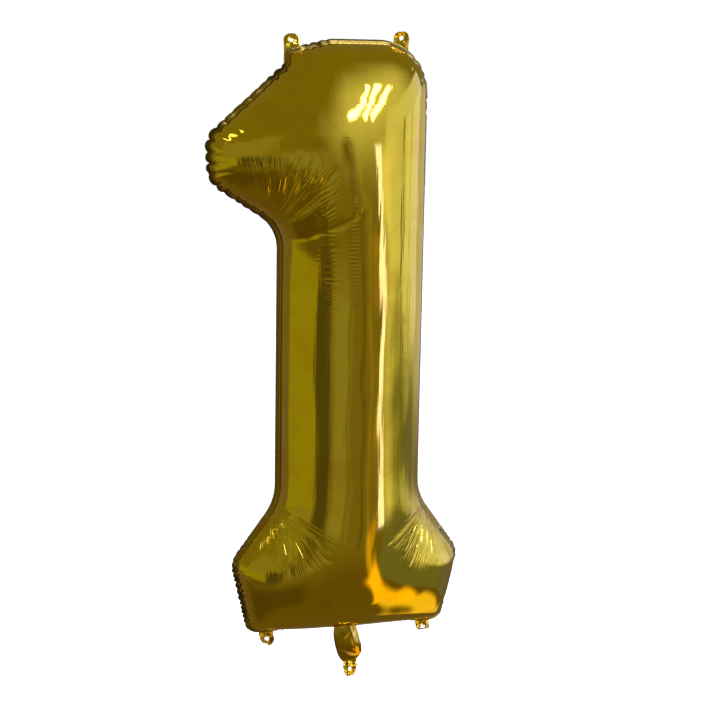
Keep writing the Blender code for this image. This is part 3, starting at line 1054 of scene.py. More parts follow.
    def slack(self, dice: np.random.Generator) -> np.ndarray:
        """Slow waves of the film, long up the digit and short across it."""
        total = np.zeros(len(self.flat))
        for _ in range(self.slack_waves):
            across = dice.uniform(0.022, 0.075)
            up = dice.uniform(0.10, 0.40)
            lean = dice.uniform(-0.25, 0.25)
            turn = dice.uniform(0, 2 * np.pi)
            x = self.flat[:, 0] + self.flat[:, 1] * lean * across / up
            total += np.sin(2 * np.pi * (x / across) + turn) * np.sin(
                2 * np.pi * self.flat[:, 1] / up + dice.uniform(0, 2 * np.pi)) * across * self.slack_share
        calm = 1 - 0.6 * smooth_step(self.flat[:, 1], 0.70, 0.78)
        return total * smooth_step(self.film_run, 0.004, 0.05) * calm

    def dented(self) -> np.ndarray:
        """The depth of the hollows at each point of the sheet."""
        total = np.zeros(len(self.flat))
        for dent in self.dents:
            up = self.flat[:, 1] - dent.z
            up /= np.where(up > 0, dent.reach_up, dent.reach_down)
            away = ((self.flat[:, 0] - dent.x) / dent.reach_x) ** 2 + up**2
            total -= dent.depth * np.exp(-away / 2)
        return total

    def details(self, side: Side) -> tuple[list[Crease], list[Ripples]]:
        """The creases and ripples of one side."""
        dice = np.random.default_rng(self.seed + 3 + side.value)
        creases = fan((-0.124, 0.600), (-0.120, 0.700), -46, 26, 26, (0.040, 0.112), dice)
        creases += fan((-0.113, 0.206), (-0.085, 0.120), -32, 40, 24, (0.038, 0.098), dice)
        creases += fan((0.113, 0.206), (0.085, 0.120), -40, 32, 22, (0.038, 0.098), dice)
        ripples = []
        if side is Side.FRONT:
            creases += [
                Crease((-0.118, 0.605), (-0.048, 0.696), 0.0022, 0.0030),
                Crease((-0.106, 0.589), (-0.006, 0.638), 0.0020, 0.0028, bow=-0.03),
                Crease((-0.122, 0.638), (-0.096, 0.716), 0.0014, 0.0022),
                Crease((-0.118, 0.626), (-0.078, 0.712), 0.0014, 0.0022),
                Crease((-0.070, 0.880), (-0.066, 0.740), 0.0003, 0.0030),
                Crease((-0.030, 0.872), (-0.027, 0.735), 0.0003, 0.0030),
                Crease((-0.140, 0.782), (0.070, 0.790), 0.0003, 0.0030),
                Crease((-0.120, 0.826), (0.040, 0.832), 0.0003, 0.0030),
            ]
            ripples = [
                Ripples((-0.076, 0.690), (-0.058, 0.608), 0.010, 0.0070, 0.0019, slant=0.5),
                Ripples((-0.061, 0.618), (-0.055, 0.520), 0.0085, 0.0069, 0.0009),
                Ripples((-0.055, 0.545), (-0.053, 0.455), 0.0080, 0.0058, 0.00035),
                Ripples((-0.030, 0.690), (-0.019, 0.520), 0.006, 0.0055, 0.0007),
            ]
        else:
            ripples = [
                Ripples((-0.070, 0.660), (-0.060, 0.520), 0.009, 0.0074, 0.0003, slant=-0.4),
                Ripples((0.040, 0.420), (0.045, 0.300), 0.008, 0.0070, 0.0002),
            ]
        return creases, ripples

    def sheet_points(self, side: Side) -> np.ndarray:
        """One side's film in the part's frame."""
        dice = np.random.default_rng(self.seed + 20 + side.value)
        points = self.blown(side)
        normals = vertex_normals(points, self.faces(side))
        creases, ripples = self.details(side)
        free = smooth_step(self.film_run, 0.002, 0.02)
        rise = self.lobes(dice) + self.slack(dice) + self.dented() * smooth_step(self.film_run, 0.0, 0.05)
        rise += (self.crease_field(creases) + self.ripple_field(ripples, dice)) * free
        points = points + normals * rise[:, None] + self.frill()
        return points + np.array(self.origin)

    def blown(self, side: Side) -> np.ndarray:
        """One side's smooth film, swollen from the flat sheet by its node tree."""
        mesh = bpy.data.meshes.new("flat_film")
        laid = np.stack([self.flat[:, 0], np.zeros(len(self.flat)), self.flat[:, 1]], axis=1)
        mesh.from_pydata(laid.tolist(), [], self.triangles.tolist())
        lift = mesh.attributes.new("lift", "FLOAT", "POINT")
        lift.data.foreach_set("value", self.height.astype(np.float32))
        flat = bpy.data.objects.new("flat_film", mesh)
        bpy.context.scene.collection.objects.link(flat)
        swell = flat.modifiers.new("Blow up", "NODES")
        swell.node_group = self.blow_up
        values = {"Side": float(side.value), "Ply": PLY_OUTSIDE, "Fullness": self.fullness}
        set_inputs(swell, self.blow_up, values)
        baked(flat)
        points = np.empty(len(flat.data.vertices) * 3)
        flat.data.vertices.foreach_get("co", points)
        bpy.data.objects.remove(flat)
        return points.reshape(-1, 3)

    def bead(self, material: bpy.types.Material) -> bpy.types.Object:
        """Builds the fine bead that the sealing jaws leave along the weld."""
        ring = np.flatnonzero(np.abs(self.gap) < 1e-7)
        ring = ring[np.argsort(self.run[ring])]
        points = np.stack([self.flat[ring, 0], np.zeros(len(ring)), self.flat[ring, 1]], axis=1)
        points += self.frill()[ring] + np.array(self.origin)
        mesh = bpy.data.meshes.new("weld_bead")
        edges = [(k, (k + 1) % len(ring)) for k in range(len(ring))]
        mesh.from_pydata(points.tolist(), edges, [])
        piece = bpy.data.objects.new("weld_bead", mesh)
        bpy.context.scene.collection.objects.link(piece)
        run = piece.modifiers.new("Bead", "NODES")
        tree = bead_tree()
        run.node_group = tree
        set_inputs(run, tree, {"Radius": self.bead_radius, "Sides": 6, "Material": material})
        baked(piece)
        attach(piece, "balloon")
        return piece

    def faces(self, side: Side) -> np.ndarray:
        """The triangles, turned outwards on one side."""
        corner = self.flat[self.triangles]
        one, two = corner[:, 1] - corner[:, 0], corner[:, 2] - corner[:, 0]
        counter = one[:, 0] * two[:, 1] - one[:, 1] * two[:, 0] > 0
        flip = counter if side is Side.REAR else ~counter
        faces = self.triangles.copy()
        faces[flip] = faces[flip][:, ::-1]
        return faces

    def seam_map(self, faces: np.ndarray) -> np.ndarray:
        """The run along the weld and the film's run away from it, at each face corner."""
        run = self.run[faces]
        wrapped = np.ptp(run, axis=1) > self.weld.length / 2
        across = run[wrapped]
        run[wrapped] = np.where(across < self.weld.length / 2, across + self.weld.length, across)
        return np.stack([run, self.film_run[faces]], axis=2).reshape(-1, 2)

    def make(self, side: Side, material: bpy.types.Material) -> bpy.types.Object:
        """Builds one side's sheet.

        Args:
            side: Which side.
            material: The foil.

        Returns:
            The sheet, with its thickness.
        """
        faces = self.faces(side)
        name = f"{side.name.lower()}_foil_skin"
        piece = mesh_object(name, self.sheet_points(side), faces, material, self.seam_map(faces))
        piece.data.set_sharp_from_angle(angle=math.radians(self.sharp_angle))
        # The gather amount is stored for the finish, which paints shade on the rim where the film is
        # gathered.
        gather = piece.data.attributes.new("gather", "FLOAT", "POINT")
        gather.data.foreach_set("value", smooth_step(self.gather_at(self.run), 0.15, 0.8).astype(np.float32))
        thickened(piece, FILM)
        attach(piece, "balloon")
        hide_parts(f"{side.name.lower()}_foil_sheet")
        return piece


def fan(centre: tuple[float, float], toward: tuple[float, float], low: float, high: float, count: int,
        lengths: tuple[float, float], dice: np.random.Generator) -> list[Crease]:
    """Creases that spread from a hollow corner of the weld into the film.

    Args:
        centre: Where they would meet.
        toward: A point in their middle direction.
        low: The first one's angle from that direction, in degrees.
        high: The last one's angle.
        count: How many there are.
        lengths: How near and how far from the centre they run.
        dice: The random draws.

    Returns:
        The creases.
    """
    middle = math.atan2(toward[1] - centre[1], toward[0] - centre[0])
    made = []
    for k in range(count):
        angle = middle + math.radians(low + (high - low) * (k + dice.uniform(-0.4, 0.4)) / (count - 1))
        near = lengths[0] * dice.uniform(0.35, 1.1)
        far = lengths[0] + (lengths[1] - lengths[0]) * dice.uniform(0.35, 1.0)
        way = np.array([math.cos(angle), math.sin(angle)])
        start, end = np.array(centre) + way * near, np.array(centre) + way * far
        made.append(Crease(tuple(start), tuple(end), dice.uniform(0.0005, 0.0013),
                           dice.uniform(0.0013, 0.0022), dice.uniform(-0.05, 0.05)))
    return made


def vertex_normals(points: np.ndarray, faces: np.ndarray) -> np.ndarray:
    """Unit normals at the points, weighted by the faces' areas."""
    corner = points[faces]
    cross = np.cross(corner[:, 1] - corner[:, 0], corner[:, 2] - corner[:, 0])
    sums = [np.bincount(faces.ravel(), np.repeat(cross[:, k], 3), len(points)) for k in range(3)]
    normals = np.stack(sums, axis=1)
    return normals / np.maximum(np.linalg.norm(normals, axis=1), 1e-12)[:, None]


# ---------------------------------------------------------------------------------------------
# Tabs, neck and valve
# ---------------------------------------------------------------------------------------------


def joint(name: str) -> dict:
    """One of the frame's joints, by name."""
    return next(entry for entry in frame["joints"] if entry["name"] == name)


@dataclass(frozen=True)
class Bend:
    """How a small tab of film hangs: its lean from the weld's plane, its curl and its crumples."""

    lean: float = 15.0
    curl: float = 0.0
    twist: float = 0.0
    crumple: float = 0.0006
    lumps: float = 0.0004
    seed: int = 1


@dataclass
class HangTab:
    """A rounded tab with a hang hole that leaves the rim, bent and crumpled by handling."""

    name: str
    envelope: FoilEnvelope
    bend: Bend
    step: float = 0.0009
    corner_radius: float = 0.009
    hole_radius: float = 0.00325
    hole_inset: float = 0.0095
    root_overlap: float = 0.0010
    wall: float = 0.0005
    holder: str = "balloon"
    sway: float = 0.0

    def rim_edge(self, upward: bool) -> np.ndarray:
        """The rim's outer edge on the top or the foot, from left to right, in the part's frame."""
        weld = self.envelope.weld
        edge = weld.beside(-RIM_WIDTH + self.root_overlap)
        facing = weld.normals[:, 1] * (1 if upward else -1) > 0.15
        edge = edge[facing] + np.array((self.envelope.origin.x, self.envelope.origin.z))
        low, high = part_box(self.name)
        edge = edge[(edge[:, 1] > low.z - 0.02) & (edge[:, 1] < high.z + 0.02)]
        return edge[np.argsort(edge[:, 0])]

    def outline(self) -> tuple[np.ndarray, np.ndarray, bool]:
        """The tab's outline and its hole in the weld's plane, and whether it stands upwards."""
        low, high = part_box(self.name)
        left, right = low.x, high.x
        upward = (low.z + high.z) / 2 > self.envelope.origin.z + 0.1
        end, way = (high.z, 1) if upward else (low.z, -1)
        edge = self.rim_edge(upward)
        across = np.arange(left, right + self.step / 2, self.step)
        root = np.stack([across, np.interp(across, edge[:, 0], edge[:, 1])], axis=1)
        radius = self.corner_radius
        turn = np.linspace(0, math.pi / 2, 12)
        bend_x, bend_z = radius * (1 - np.cos(turn)), radius * (1 - np.sin(turn))
        sides = []
        for x, sign in ((right, -1), (left, 1)):
            shoulder = end - way * radius
            foot = float(np.interp(x, root[:, 0], root[:, 1]))
            count = max(2, int(abs(shoulder - foot) / self.step))
            straight = np.linspace(foot, shoulder, count, endpoint=False)[1:]
            side = [np.stack([np.full(len(straight), x), straight], axis=1)]
            side.append(np.stack([x + sign * bend_x, end - way * bend_z], axis=1))
            sides.append(np.concatenate(side))
        top = np.arange(right - radius, left + radius, -self.step)[1:]
        cap = np.stack([top, np.full(len(top), end)], axis=1)
        ring = np.concatenate([root, sides[0], cap, sides[1][::-1]])
        spin = np.linspace(0, 2 * math.pi, 28, endpoint=False)
        middle = np.array([(left + right) / 2, end - way * self.hole_inset])
        hole = middle + self.hole_radius * np.stack([np.cos(spin), np.sin(spin)], axis=1)
        return ring, hole, upward

    def bent(self, along: np.ndarray, out: np.ndarray) -> np.ndarray:
        """Bends the flat tab.

        Args:
            along: How far each point lies along the fold.
            out: How far it lies out from the fold.

        Returns:
            The points along the fold, out from it and towards the front.
        """
        bend = self.bend
        dice = np.random.default_rng(bend.seed)
        reach = np.linspace(0, 0.04, 160)
        turn = math.radians(bend.lean) * smooth_step(reach, 0, 0.006)
        if bend.curl:
            turn = turn + np.maximum(reach - 0.004, 0) / bend.curl
        step = reach[1]
        far = np.concatenate([[0], np.cumsum(np.cos(turn))[:-1] * step])
        fore = np.concatenate([[0], np.cumsum(np.sin(turn))[:-1] * step])
        free = smooth_step(out, 0.0005, 0.006)
        ridge = np.zeros(len(out))
        for _ in range(9):
            angle = dice.uniform(0, math.pi)
            middle = dice.uniform(-0.008, 0.008), dice.uniform(0.002, 0.018)
            offset = (along - middle[0]) * math.cos(angle) + (out - middle[1]) * math.sin(angle)
            height = dice.choice([-1, 1]) * dice.uniform(0.4, 1.0) * bend.crumple
            ridge += height * np.exp(-np.abs(offset) / dice.uniform(0.0016, 0.0034))
        for _ in range(4):
            wave = dice.uniform(0.008, 0.018)
            angle = dice.uniform(0, math.pi)
            slanted = along * math.cos(angle) + out * math.sin(angle)
            phase = dice.uniform(0, 6.28)
            ridge += bend.lumps * np.sin(2 * math.pi * slanted / wave + phase)
        ridge *= free
        twist = np.radians(bend.twist) * smooth_step(out, 0.002, 0.02)
        slope = np.interp(out, reach, turn)
        before = out < 0
        far_out = np.where(before, out, np.interp(out, reach, far)) - np.sin(slope) * ridge
        toward = np.where(before, 0, np.interp(out, reach, fore)) + np.cos(slope) * ridge
        return np.stack([along * np.cos(twist), far_out, toward + along * np.sin(twist)], axis=1)

    def make(self, material: bpy.types.Material) -> bpy.types.Object:
        """Builds the tab across its fold."""
        ring, hole, upward = self.outline()
        inside = Loop(ring, np.zeros_like(ring))
        bore = Loop(hole, np.zeros_like(hole))
        grid = hexagonal(ring.min(0), ring.max(0), self.step)
        grid = grid[inside.holds(grid) & ~bore.holds(grid)]
        grid = grid[(inside.nearest(grid)[0] > self.step * 0.5) & (bore.nearest(grid)[0] > self.step * 0.5)]
        flat, faces = triangulated([ring, hole], [grid])
        faces = faces[~bore.holds(flat[faces].mean(1))]
        fold = joint(f"{self.name}_fold")
        place, axis = Vector(fold["pos_m"]), Vector(fold["axis"]).normalized()
        along = np.array((axis.x, axis.z)) * math.copysign(1, axis.x)
        out = np.array((-along[1], along[0])) * (1 if upward else -1)
        away = flat - np.array((place.x, place.z))
        local = self.bent(away @ along, away @ out)
        points = np.array(place) + local[:, :1] * np.array((along[0], 0, along[1]))
        points += local[:, 1:2] * np.array((out[0], 0, out[1])) + local[:, 2:] * np.array((0, -1, 0))
        points[:, 0] += self.sway
        corner = flat[faces]
        one, two = corner[:, 1] - corner[:, 0], corner[:, 2] - corner[:, 0]
        clockwise = one[:, 0] * two[:, 1] - one[:, 1] * two[:, 0] < 0
        faces[clockwise] = faces[clockwise][:, ::-1]
        piece = mesh_object(f"{self.name}_film", points, faces, material)
        thickened(piece, self.wall, 0.0)
        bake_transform(piece)
        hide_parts(self.name)
        return piece


@dataclass
class TailTab(HangTab):
    """The hang tab that leaves the neck's rear ply at the mouth."""

    holder: str = "neck"
    hole_inset: float = 0.0105
    sway: float = 0.0092
    root_rise: float = 0.0024

    def rim_edge(self, upward: bool) -> np.ndarray:
        """The straight root, just above the fold on the neck's rear ply."""
        low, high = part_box(self.name)
        level = high.z + self.root_rise
        return np.array([(low.x - 0.01, level), (high.x + 0.01, level)])


@dataclass(frozen=True)
class CrossFold:
    """One slanting fold across the neck: its slope, its level and reach as shares of the neck's
    length, and its depth and width."""

    slope: float
    level: float
    depth: float
    width: float
    start: float
    end: float


@dataclass
class FillingNeck:
    """The flat filling neck under the foot, pleated at its root, with the tab at its end."""

    origin: Vector
    root_rise: float = 0.0050
    root_half: float = 0.0185
    belly_half: float = 0.0205
    end_half: float = 0.0125
    drop: float = 0.0562
    bulge: float = 0.0038
    sway: float = 0.0092
    pleat_depth: float = 0.0011
    pleat_width: float = 0.0015
    cross_folds: tuple[CrossFold, ...] = (
        CrossFold(-0.55, 0.83, 0.0016, 0.0016, 0.45, 0.7),
        CrossFold(0.9, 0.30, 0.0005, 0.0014, 0.05, 0.3),
    )
    rows: int = 90
    columns: int = 120

    def half_width(self, down: np.ndarray) -> np.ndarray:
        """Half the neck's width at each share of its length."""
        shares = [0.0, 0.08, 0.30, 0.58, 0.80, 0.93, 1.0]
        halves = [self.root_half, self.root_half * 0.93, self.belly_half * 0.95, self.belly_half,
                  self.belly_half * 0.93, self.belly_half * 0.76, self.end_half]
        fine = np.linspace(0, 1, 200)
        curve = np.interp(fine, shares, halves)
        for _ in range(30):
            curve[1:-1] = (curve[:-2] + 2 * curve[1:-1] + curve[2:]) / 4
        return np.interp(down, fine, curve)

    def make_tube(self, material: bpy.types.Material) -> bpy.types.Object:
        """Builds the two plies of the neck as one flat tube."""
        dice = np.random.default_rng(31)
        turn = np.linspace(0, 2 * math.pi, self.columns, endpoint=False)
        share = np.linspace(0, 1, self.rows)
        across, down = np.meshgrid(np.cos(turn), share)
        front = np.tile(np.sin(turn), (self.rows, 1))
        half = self.half_width(down)
        x = half * np.sign(across) * np.abs(across) ** 0.85
        body = (1 - across**2) ** 0.6
        swell = self.bulge * np.sin(np.pi * np.clip(down, 0, 1)) ** 0.7 + 0.0009
        y = -np.sign(front) * body * swell
        pleat = np.zeros_like(y)
        for _ in range(10):
            middle = dice.uniform(-0.9, 0.9)
            lean = dice.uniform(-0.5, 0.5)
            offset = (across - middle - lean * down) * half
            reach = dice.uniform(0.10, 0.42)
            depth = dice.uniform(0.4, 1.0) * self.pleat_depth
            pleat += depth * np.exp(-np.abs(offset) / self.pleat_width) * np.exp(-down / reach)
        for fold in self.cross_folds:
            crossed = x * fold.slope + (down - fold.level) * self.drop
            eased = smooth_step(down, fold.start, fold.end)
            pleat += fold.depth * np.exp(-np.abs(crossed) / fold.width) * eased
        y += -np.sign(front) * body * pleat
        y += 0.0028 * smooth_step(down, 0.55, 1.0)
        z = self.root_rise - down * (self.drop + self.root_rise)
        x = x + self.sway * smooth_step(down, 0.05, 1.0)
        z = z + 0.0022 * (x / self.belly_half) * smooth_step(down, 0.75, 1.0)
        root = smooth_step(down, 0.0, 0.10)
        y = np.where(down < 0.10, y * root - np.sign(front) * body * 0.0010 * (1 - root), y)
        points = np.stack([x, y, z], axis=2).reshape(-1, 3) + np.array(self.origin)
        faces = []
        for row in range(self.rows - 1):
            for k in range(self.columns):
                onward = (k + 1) % self.columns
                first, second = row * self.columns, (row + 1) * self.columns
                faces.append((first + k, first + onward, second + onward, second + k))
        piece = mesh_object("neck_film", points, np.array(faces), material)
        thickened(piece, FILM)
        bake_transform(piece)
        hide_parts("neck_front_ply", "neck_rear_ply")
        return piece


@dataclass
class ValveStrip:
    """One piece of the clear valve film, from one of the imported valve's nodes."""

    name: str
    bodies: tuple[str, ...]
    hinge: str = ""
    wave: float = 0.00004
    step: float = 0.0012
    wall: float = 0.0001

    def make(self, material: bpy.types.Material) -> bpy.types.Object:
        """Builds the film, faintly wavy."""
        low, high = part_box(self.name)
        across = np.linspace(low.x, high.x, max(3, int((high.x - low.x) / self.step)))
        up = np.linspace(low.z, high.z, max(3, int((high.z - low.z) / self.step)))
        x, z = np.meshgrid(across, up)
        middle = (low.y + high.y) / 2
        y = middle + self.wave * np.sin(z * 260) * np.cos(x * 190)
        count = len(across)
        faces = []
        for row in range(len(up) - 1):
            for k in range(count - 1):
                first = row * count + k
                faces.append((first, first + 1, first + count + 1, first + count))
        points = np.stack([x, y, z], axis=2).reshape(-1, 3)
        piece = mesh_object(f"{self.name}_soft", points, np.array(faces), material)
        thickened(piece, self.wall, 0.0)
        if self.hinge:
            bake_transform(piece)
        else:
            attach(piece, self.bodies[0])
        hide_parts(self.name)
        return piece


# ---------------------------------------------------------------------------------------------
# Surroundings
# ---------------------------------------------------------------------------------------------


@dataclass(frozen=True)
class RoomPanel:
    """One soft-edged patch of the room that the foil mirrors, in degrees round and above the horizon."""

    azimuth: float
    elevation: float
    half_width: float
    half_height: float
    colour: tuple[float, float, float]
    soft: float = 3.0
    tilt: float = 0.0


# The panels' first directions and colours were worked out from what the real foil reflects, by a
# separate calculation, and rounded. They were then changed over many tries. They are a lighting
# setup that suits one view, not a measured room.
ROOM: tuple[RoomPanel, ...] = (
    RoomPanel(-100, -8, 30, 9, (0.285, 0.275, 0.06), 6),
    RoomPanel(-73, 12, 30, 15, (0.25, 0.235, 0.25), 5),
    RoomPanel(-75, -42, 45, 14, (0.088, 0.064, 0.02), 14),
    RoomPanel(-58, -9.5, 12, 9, (0.080, 0.070, 0.09), 9),
    RoomPanel(-76, -21, 22, 3.5, (0.12, 0.10, 0.05), 6),
    RoomPanel(-27, -6, 15, 10, (0.255, 0.25, 0.36), 14),
    RoomPanel(-16, -8, 1.5, 12, (0.17, 0.15, 0.12), 4),
    RoomPanel(10, -10, 17, 12, (0.18, 0.15, 0.14), 12),
    RoomPanel(8, -7, 1.8, 13, (0.115, 0.095, 0.07), 5),
    RoomPanel(20, -8, 3, 12, (0.25, 0.22, 0.20), 7),
    RoomPanel(42, 36, 45, 26, (0.62, 0.64, 1.9), 46),
    RoomPanel(85, 6.5, 36, 18.5, (0.40, 0.42, 0.8), 3),
    RoomPanel(85, 8.0, 36, 17.6, (0.66, 0.71, 2.6), 3),
    RoomPanel(81, -22, 36, 11, (0.15, 0.165, 0.35), 4),
    RoomPanel(98, 1, 18, 10.6, (0.78, 0.84, 3.0), 5),
    RoomPanel(129, -2, 15, 10, (0.52, 0.52, 0.6), 5),
    RoomPanel(76, -1, 1.4, 14, (0.16, 0.17, 0.25), 1.6),
    RoomPanel(92, 0, 0.9, 12, (0.45, 0.5, 0.8), 1.4),
    RoomPanel(166, -8, 14, 30, (0.28, 0.22, 0.1), 12),
    RoomPanel(50, -1, 9, 10, (0.85, 0.86, 2.6), 14),
    RoomPanel(39, -2, 4.2, 13, (1.35, 1.42, 15.0), 2.5),
    RoomPanel(24, 41, 17, 2.6, (7.0, 7.0, 36.0), 2.6, 39),
    RoomPanel(36, 38, 17, 2.6, (7.0, 7.0, 36.0), 2.6, 37),
    RoomPanel(46, 33, 15, 2.4, (7.0, 7.0, 36.0), 2.6, 31),
    RoomPanel(30, -17, 2.5, 5, (0.55, 0.32, 0.06), 4),
    RoomPanel(27, -26, 12, 4, (0.66, 0.42, 0.06), 6, -63),
    RoomPanel(49, -45, 22, 10, (1.3, 0.75, 0.05), 8, -33),
    RoomPanel(96, -51, 30, 11, (1.0, 0.68, 0.16), 8, -3),
    RoomPanel(124, -47, 11, 6, (0.82, 0.58, 0.10), 8, 65),
    RoomPanel(-103, 35, 10, 2.6, (2.2, 2.0, 4.0), 4, 14),
    RoomPanel(-17, 13, 6, 5, (0.18, 0.13, 0.11), 9),
    RoomPanel(7, 9, 3.5, 8, (0.135, 0.105, 0.055), 9),
)


@dataclass
class Studio:
    """The pale floor, the soft light, the camera and the room that the foil mirrors."""

    centre: Vector
    floor_drop: float = 0.32
    floor_half: float = 14.0
    light_size: float = 3.0
    light_energy: float = 60.0
    azimuth: float = -15.0
    elevation: float = 10.5
    distance: float = 2.3
    lens: float = 78.4
    roll: float = -1.04

    def camera(self) -> None:
        """Places the camera."""
        data = bpy.data.cameras.new("camera")
        data.lens = self.lens
        data.sensor_width = 36.0
        data.clip_start, data.clip_end = 0.05, 60.0
        made = bpy.data.objects.new("camera", data)
        bpy.context.scene.collection.objects.link(made)
        round_, up = math.radians(self.azimuth), math.radians(self.elevation)
        back = Vector((math.sin(round_) * math.cos(up), -math.cos(round_) * math.cos(up), math.sin(up)))
        aim = (-back).to_track_quat("-Z", "Y").to_matrix().to_4x4()
        turn = Matrix.Rotation(math.radians(-self.roll), 4, "Z")
        made.matrix_world = Matrix.Translation(self.centre + back * self.distance) @ aim @ turn
        bpy.context.scene.camera = made

    def floor(self) -> None:
        """Lays the pale floor."""
        mesh = bpy.data.meshes.new("floor")
        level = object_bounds()[0].z - self.floor_drop
        half = self.floor_half
        corners = [(-half, -half, level), (half, -half, level), (half, half, level), (-half, half, level)]
        mesh.from_pydata(corners, [], [(0, 1, 2, 3)])
        material = bpy.data.materials.new("pale_floor")
        material.use_nodes = True
        shader = material.node_tree.nodes["Principled BSDF"]
        shader.inputs["Base Color"].default_value = (0.9, 0.9, 0.9, 1)
        shader.inputs["Roughness"].default_value = 0.9
        shader.inputs["Specular IOR Level"].default_value = 0.0
        shader.inputs["Emission Color"].default_value = (1, 1, 1, 1)
        shader.inputs["Emission Strength"].default_value = 0.35
        mesh.materials.append(material)
        made = bpy.data.objects.new("floor", mesh)
        bpy.context.scene.collection.objects.link(made)
        made.visible_glossy = False
        made.visible_transmission = False
        made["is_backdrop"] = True

    def soft_light(self) -> None:
        """Hangs one wide soft light overhead, which the foil doesn't mirror."""
        data = bpy.data.lights.new("soft_light", "AREA")
        data.shape = "DISK"
        data.size = self.light_size
        data.energy = self.light_energy
        made = bpy.data.objects.new("soft_light", data)
        bpy.context.scene.collection.objects.link(made)
        made.location = self.centre + Vector((-0.6, -1.2, 2.6))
        made.rotation_euler = (self.centre - made.location).to_track_quat("-Z", "Y").to_euler()
        made.visible_glossy = False
        made.visible_camera = False

    def panel_group(self) -> bpy.types.NodeTree:
        """A group that lays one soft-edged patch over a backdrop."""
        tree, given, put = group(
            "room_panel",
            {"Place": ("Vector", None), "Centre": ("Vector", None), "Half Size": ("Vector", None),
             "Tilt": ("Float", 0.0), "Soft": ("Float", 3.0), "Backdrop": ("Color", None),
             "Light": ("Color", None)},
            {"Colour": "Color"},
        )
        away = tree.add("ShaderNodeVectorMath", {"operation": "SUBTRACT"}, _0=given["Place"],
                        _1=given["Centre"])
        turned = tree.add("ShaderNodeVectorRotate", {"rotation_type": "Z_AXIS"}, Vector=away.outputs[0],
                          Angle=given["Tilt"])
        across = tree.add("ShaderNodeVectorMath", {"operation": "ABSOLUTE"}, _0=turned.outputs[0])
        past = tree.add("ShaderNodeVectorMath", {"operation": "SUBTRACT"}, _0=across.outputs[0],
                        _1=given["Half Size"])
        parts = tree.add("ShaderNodeSeparateXYZ", Vector=past.outputs[0])
        masks = []
        for k in (0, 1):
            share = tree.math("DIVIDE", parts.outputs[k], given["Soft"])
            masks.append(tree.eased(share, -0.5, 0.5, 1.0, 0.0))
        mask = tree.math("MULTIPLY", *masks)
        put("Colour", tree.mixed(mask, given["Backdrop"], given["Light"]))
        return tree.tree

    def world(self) -> None:
        """Paints the room: even white for the eye and the floor, panels for what the foil mirrors."""
        world = bpy.data.worlds.new("room")
        bpy.context.scene.world = world
        world.use_nodes = True
        tree = Tree(world.node_tree)
        nodes, links = world.node_tree.nodes, world.node_tree.links
        where = tree.add("ShaderNodeTexCoord")
        parts = tree.add("ShaderNodeSeparateXYZ", Vector=where.outputs["Generated"])
        round_ = tree.math("ARCTAN2", parts.outputs[0], tree.math("MULTIPLY", parts.outputs[1], -1.0))
        up = tree.math("ARCSINE", parts.outputs[2])
        degrees = [tree.math("MULTIPLY", value, 180 / math.pi) for value in (round_, up)]
        place = tree.add("ShaderNodeCombineXYZ", X=degrees[0], Y=degrees[1]).outputs[0]
        low = tree.mixed(tree.eased(degrees[1], -40, -12), (0.13, 0.095, 0.03, 1), (0.17, 0.14, 0.1, 1))
        colour = tree.mixed(tree.eased(degrees[1], -12, 16), low, (0.19, 0.165, 0.05, 1))
        patch = self.panel_group()
        for panel in ROOM:
            node = tree.add("ShaderNodeGroup", {"node_tree": patch}, Place=place, Backdrop=colour)
            node.inputs["Centre"].default_value = (panel.azimuth, panel.elevation, 0)
            node.inputs["Half Size"].default_value = (panel.half_width, panel.half_height, 0)
            node.inputs["Tilt"].default_value = math.radians(-panel.tilt)
            node.inputs["Soft"].default_value = panel.soft
            node.inputs["Light"].default_value = rgba(panel.colour)
            colour = node.outputs[0]
        path = tree.add("ShaderNodeLightPath")
        plain = tree.math("MAXIMUM", path.outputs["Is Camera Ray"], path.outputs["Is Diffuse Ray"])
        plain = tree.math("MAXIMUM", plain, path.outputs["Is Transmission Ray"])
        seen = tree.mixed(plain, colour, (1, 1, 1, 1))
        background = nodes["Background"]
        links.new(seen, background.inputs["Color"])
        background.inputs["Strength"].default_value = 1.0

    def build(self) -> None:
        """Builds everything round the balloon."""
        self.camera()
        self.floor()
        self.soft_light()
        self.world()
        bpy.context.scene.view_settings.view_transform = "Standard"


def base_origin() -> Vector:
    """Where the column's centre line meets the rim's foot, in the part's frame."""
    low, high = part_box("neck_front_ply")
    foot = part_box("front_foil_sheet")[0]
    return Vector(((low.x + high.x) / 2, 0.0, foot.z))


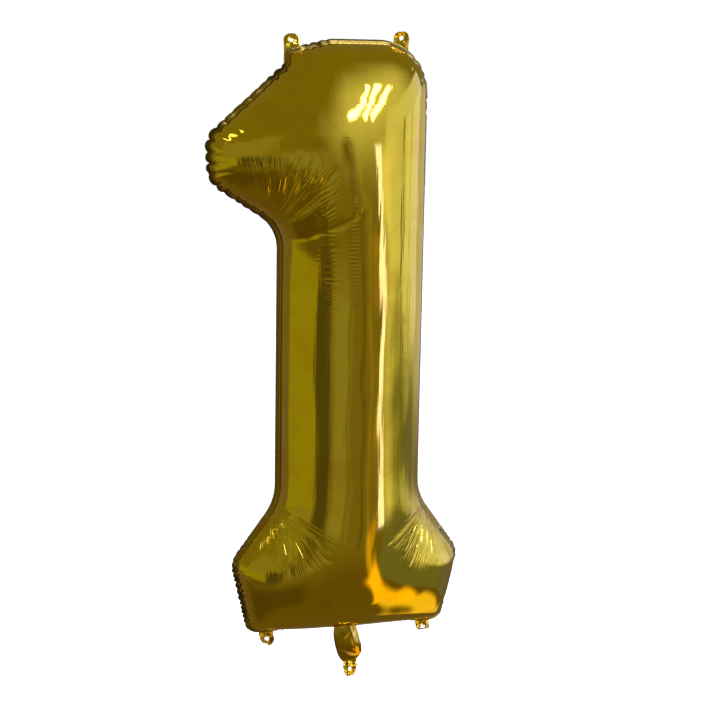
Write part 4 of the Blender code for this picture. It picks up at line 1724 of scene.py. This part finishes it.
def main() -> None:
    """Builds the balloon's looks round its frame."""
    logging.basicConfig(level=logging.INFO, format="%(message)s")
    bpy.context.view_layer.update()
    origin = base_origin()
    Studio(origin + Vector(VIEW_CENTRE)).build()
    crinkle = film_crinkle_group()
    groups = (crinkle, heat_seal_group(), radial_folds_group())
    skin = GoldFoil("gold_foil_skin", pack_depth=0.00002, fans=FANS, origin=tuple(origin)).make(*groups)
    plain = GoldFoil("gold_foil_tab", has_rim=False, crinkle_depth=0.00005).make(*groups)
    clear = ClearFilm().make(crinkle)
    for name, node in frame["nodes"].items():
        node.data.materials.clear()
        node.data.materials.append(clear if name.startswith("valve") else plain)
    envelope = FoilEnvelope(origin=origin)
    skins = [envelope.make(side, skin) for side in Side]
    bead = envelope.bead(plain)
    bends = {
        "tab_top_left": Bend(lean=-18, twist=9, crumple=0.0009, seed=5),
        "tab_top_right": Bend(lean=14, twist=-8, crumple=0.0008, seed=12),
        "tab_foot_left": Bend(lean=38, twist=48, crumple=0.0018, lumps=0.0009, seed=9),
        "tab_foot_right": Bend(lean=24, curl=0.0085, twist=-22, crumple=0.0018, lumps=0.0010, seed=21),
    }
    tabs = [HangTab(name, envelope, bend).make(plain) for name, bend in bends.items()]
    tail_bend = Bend(lean=8, curl=0.060, twist=-20, crumple=0.0016, lumps=0.0007, seed=17)
    tabs.append(TailTab("tail_tab", envelope, tail_bend).make(plain))
    # painted shade: the neck's foil gets a darker gold than the skin
    shaded = GoldFoil("gold_foil_neck", has_rim=False, crinkle_depth=0.00006, tint=Tint.SHADED_GOLD.value)
    neck = FillingNeck(origin).make_tube(shaded.make(*groups))
    strips = []
    for side in ("front", "rear"):
        part = f"valve_{side}"
        film = ValveStrip(f"{part}_film", ("balloon", part), f"{part}_part").make(clear)
        root = ValveStrip(f"{part}_root", ("balloon",)).make(clear)
        tongue = ValveStrip(f"{part}_tongue", ("balloon", "neck"), "neck_fold").make(clear)
        strips += [film, root, tongue]
    # The cut's area is not known apart from the finished film: it is the film's own area and an
    # allowance, so comparing the two proves nothing.
    for piece in (*skins, bead, *tabs, neck, *strips):
        log.info("%s: %d faces", piece.name, len(piece.data.polygons))


if __name__ == "__main__":
    main()
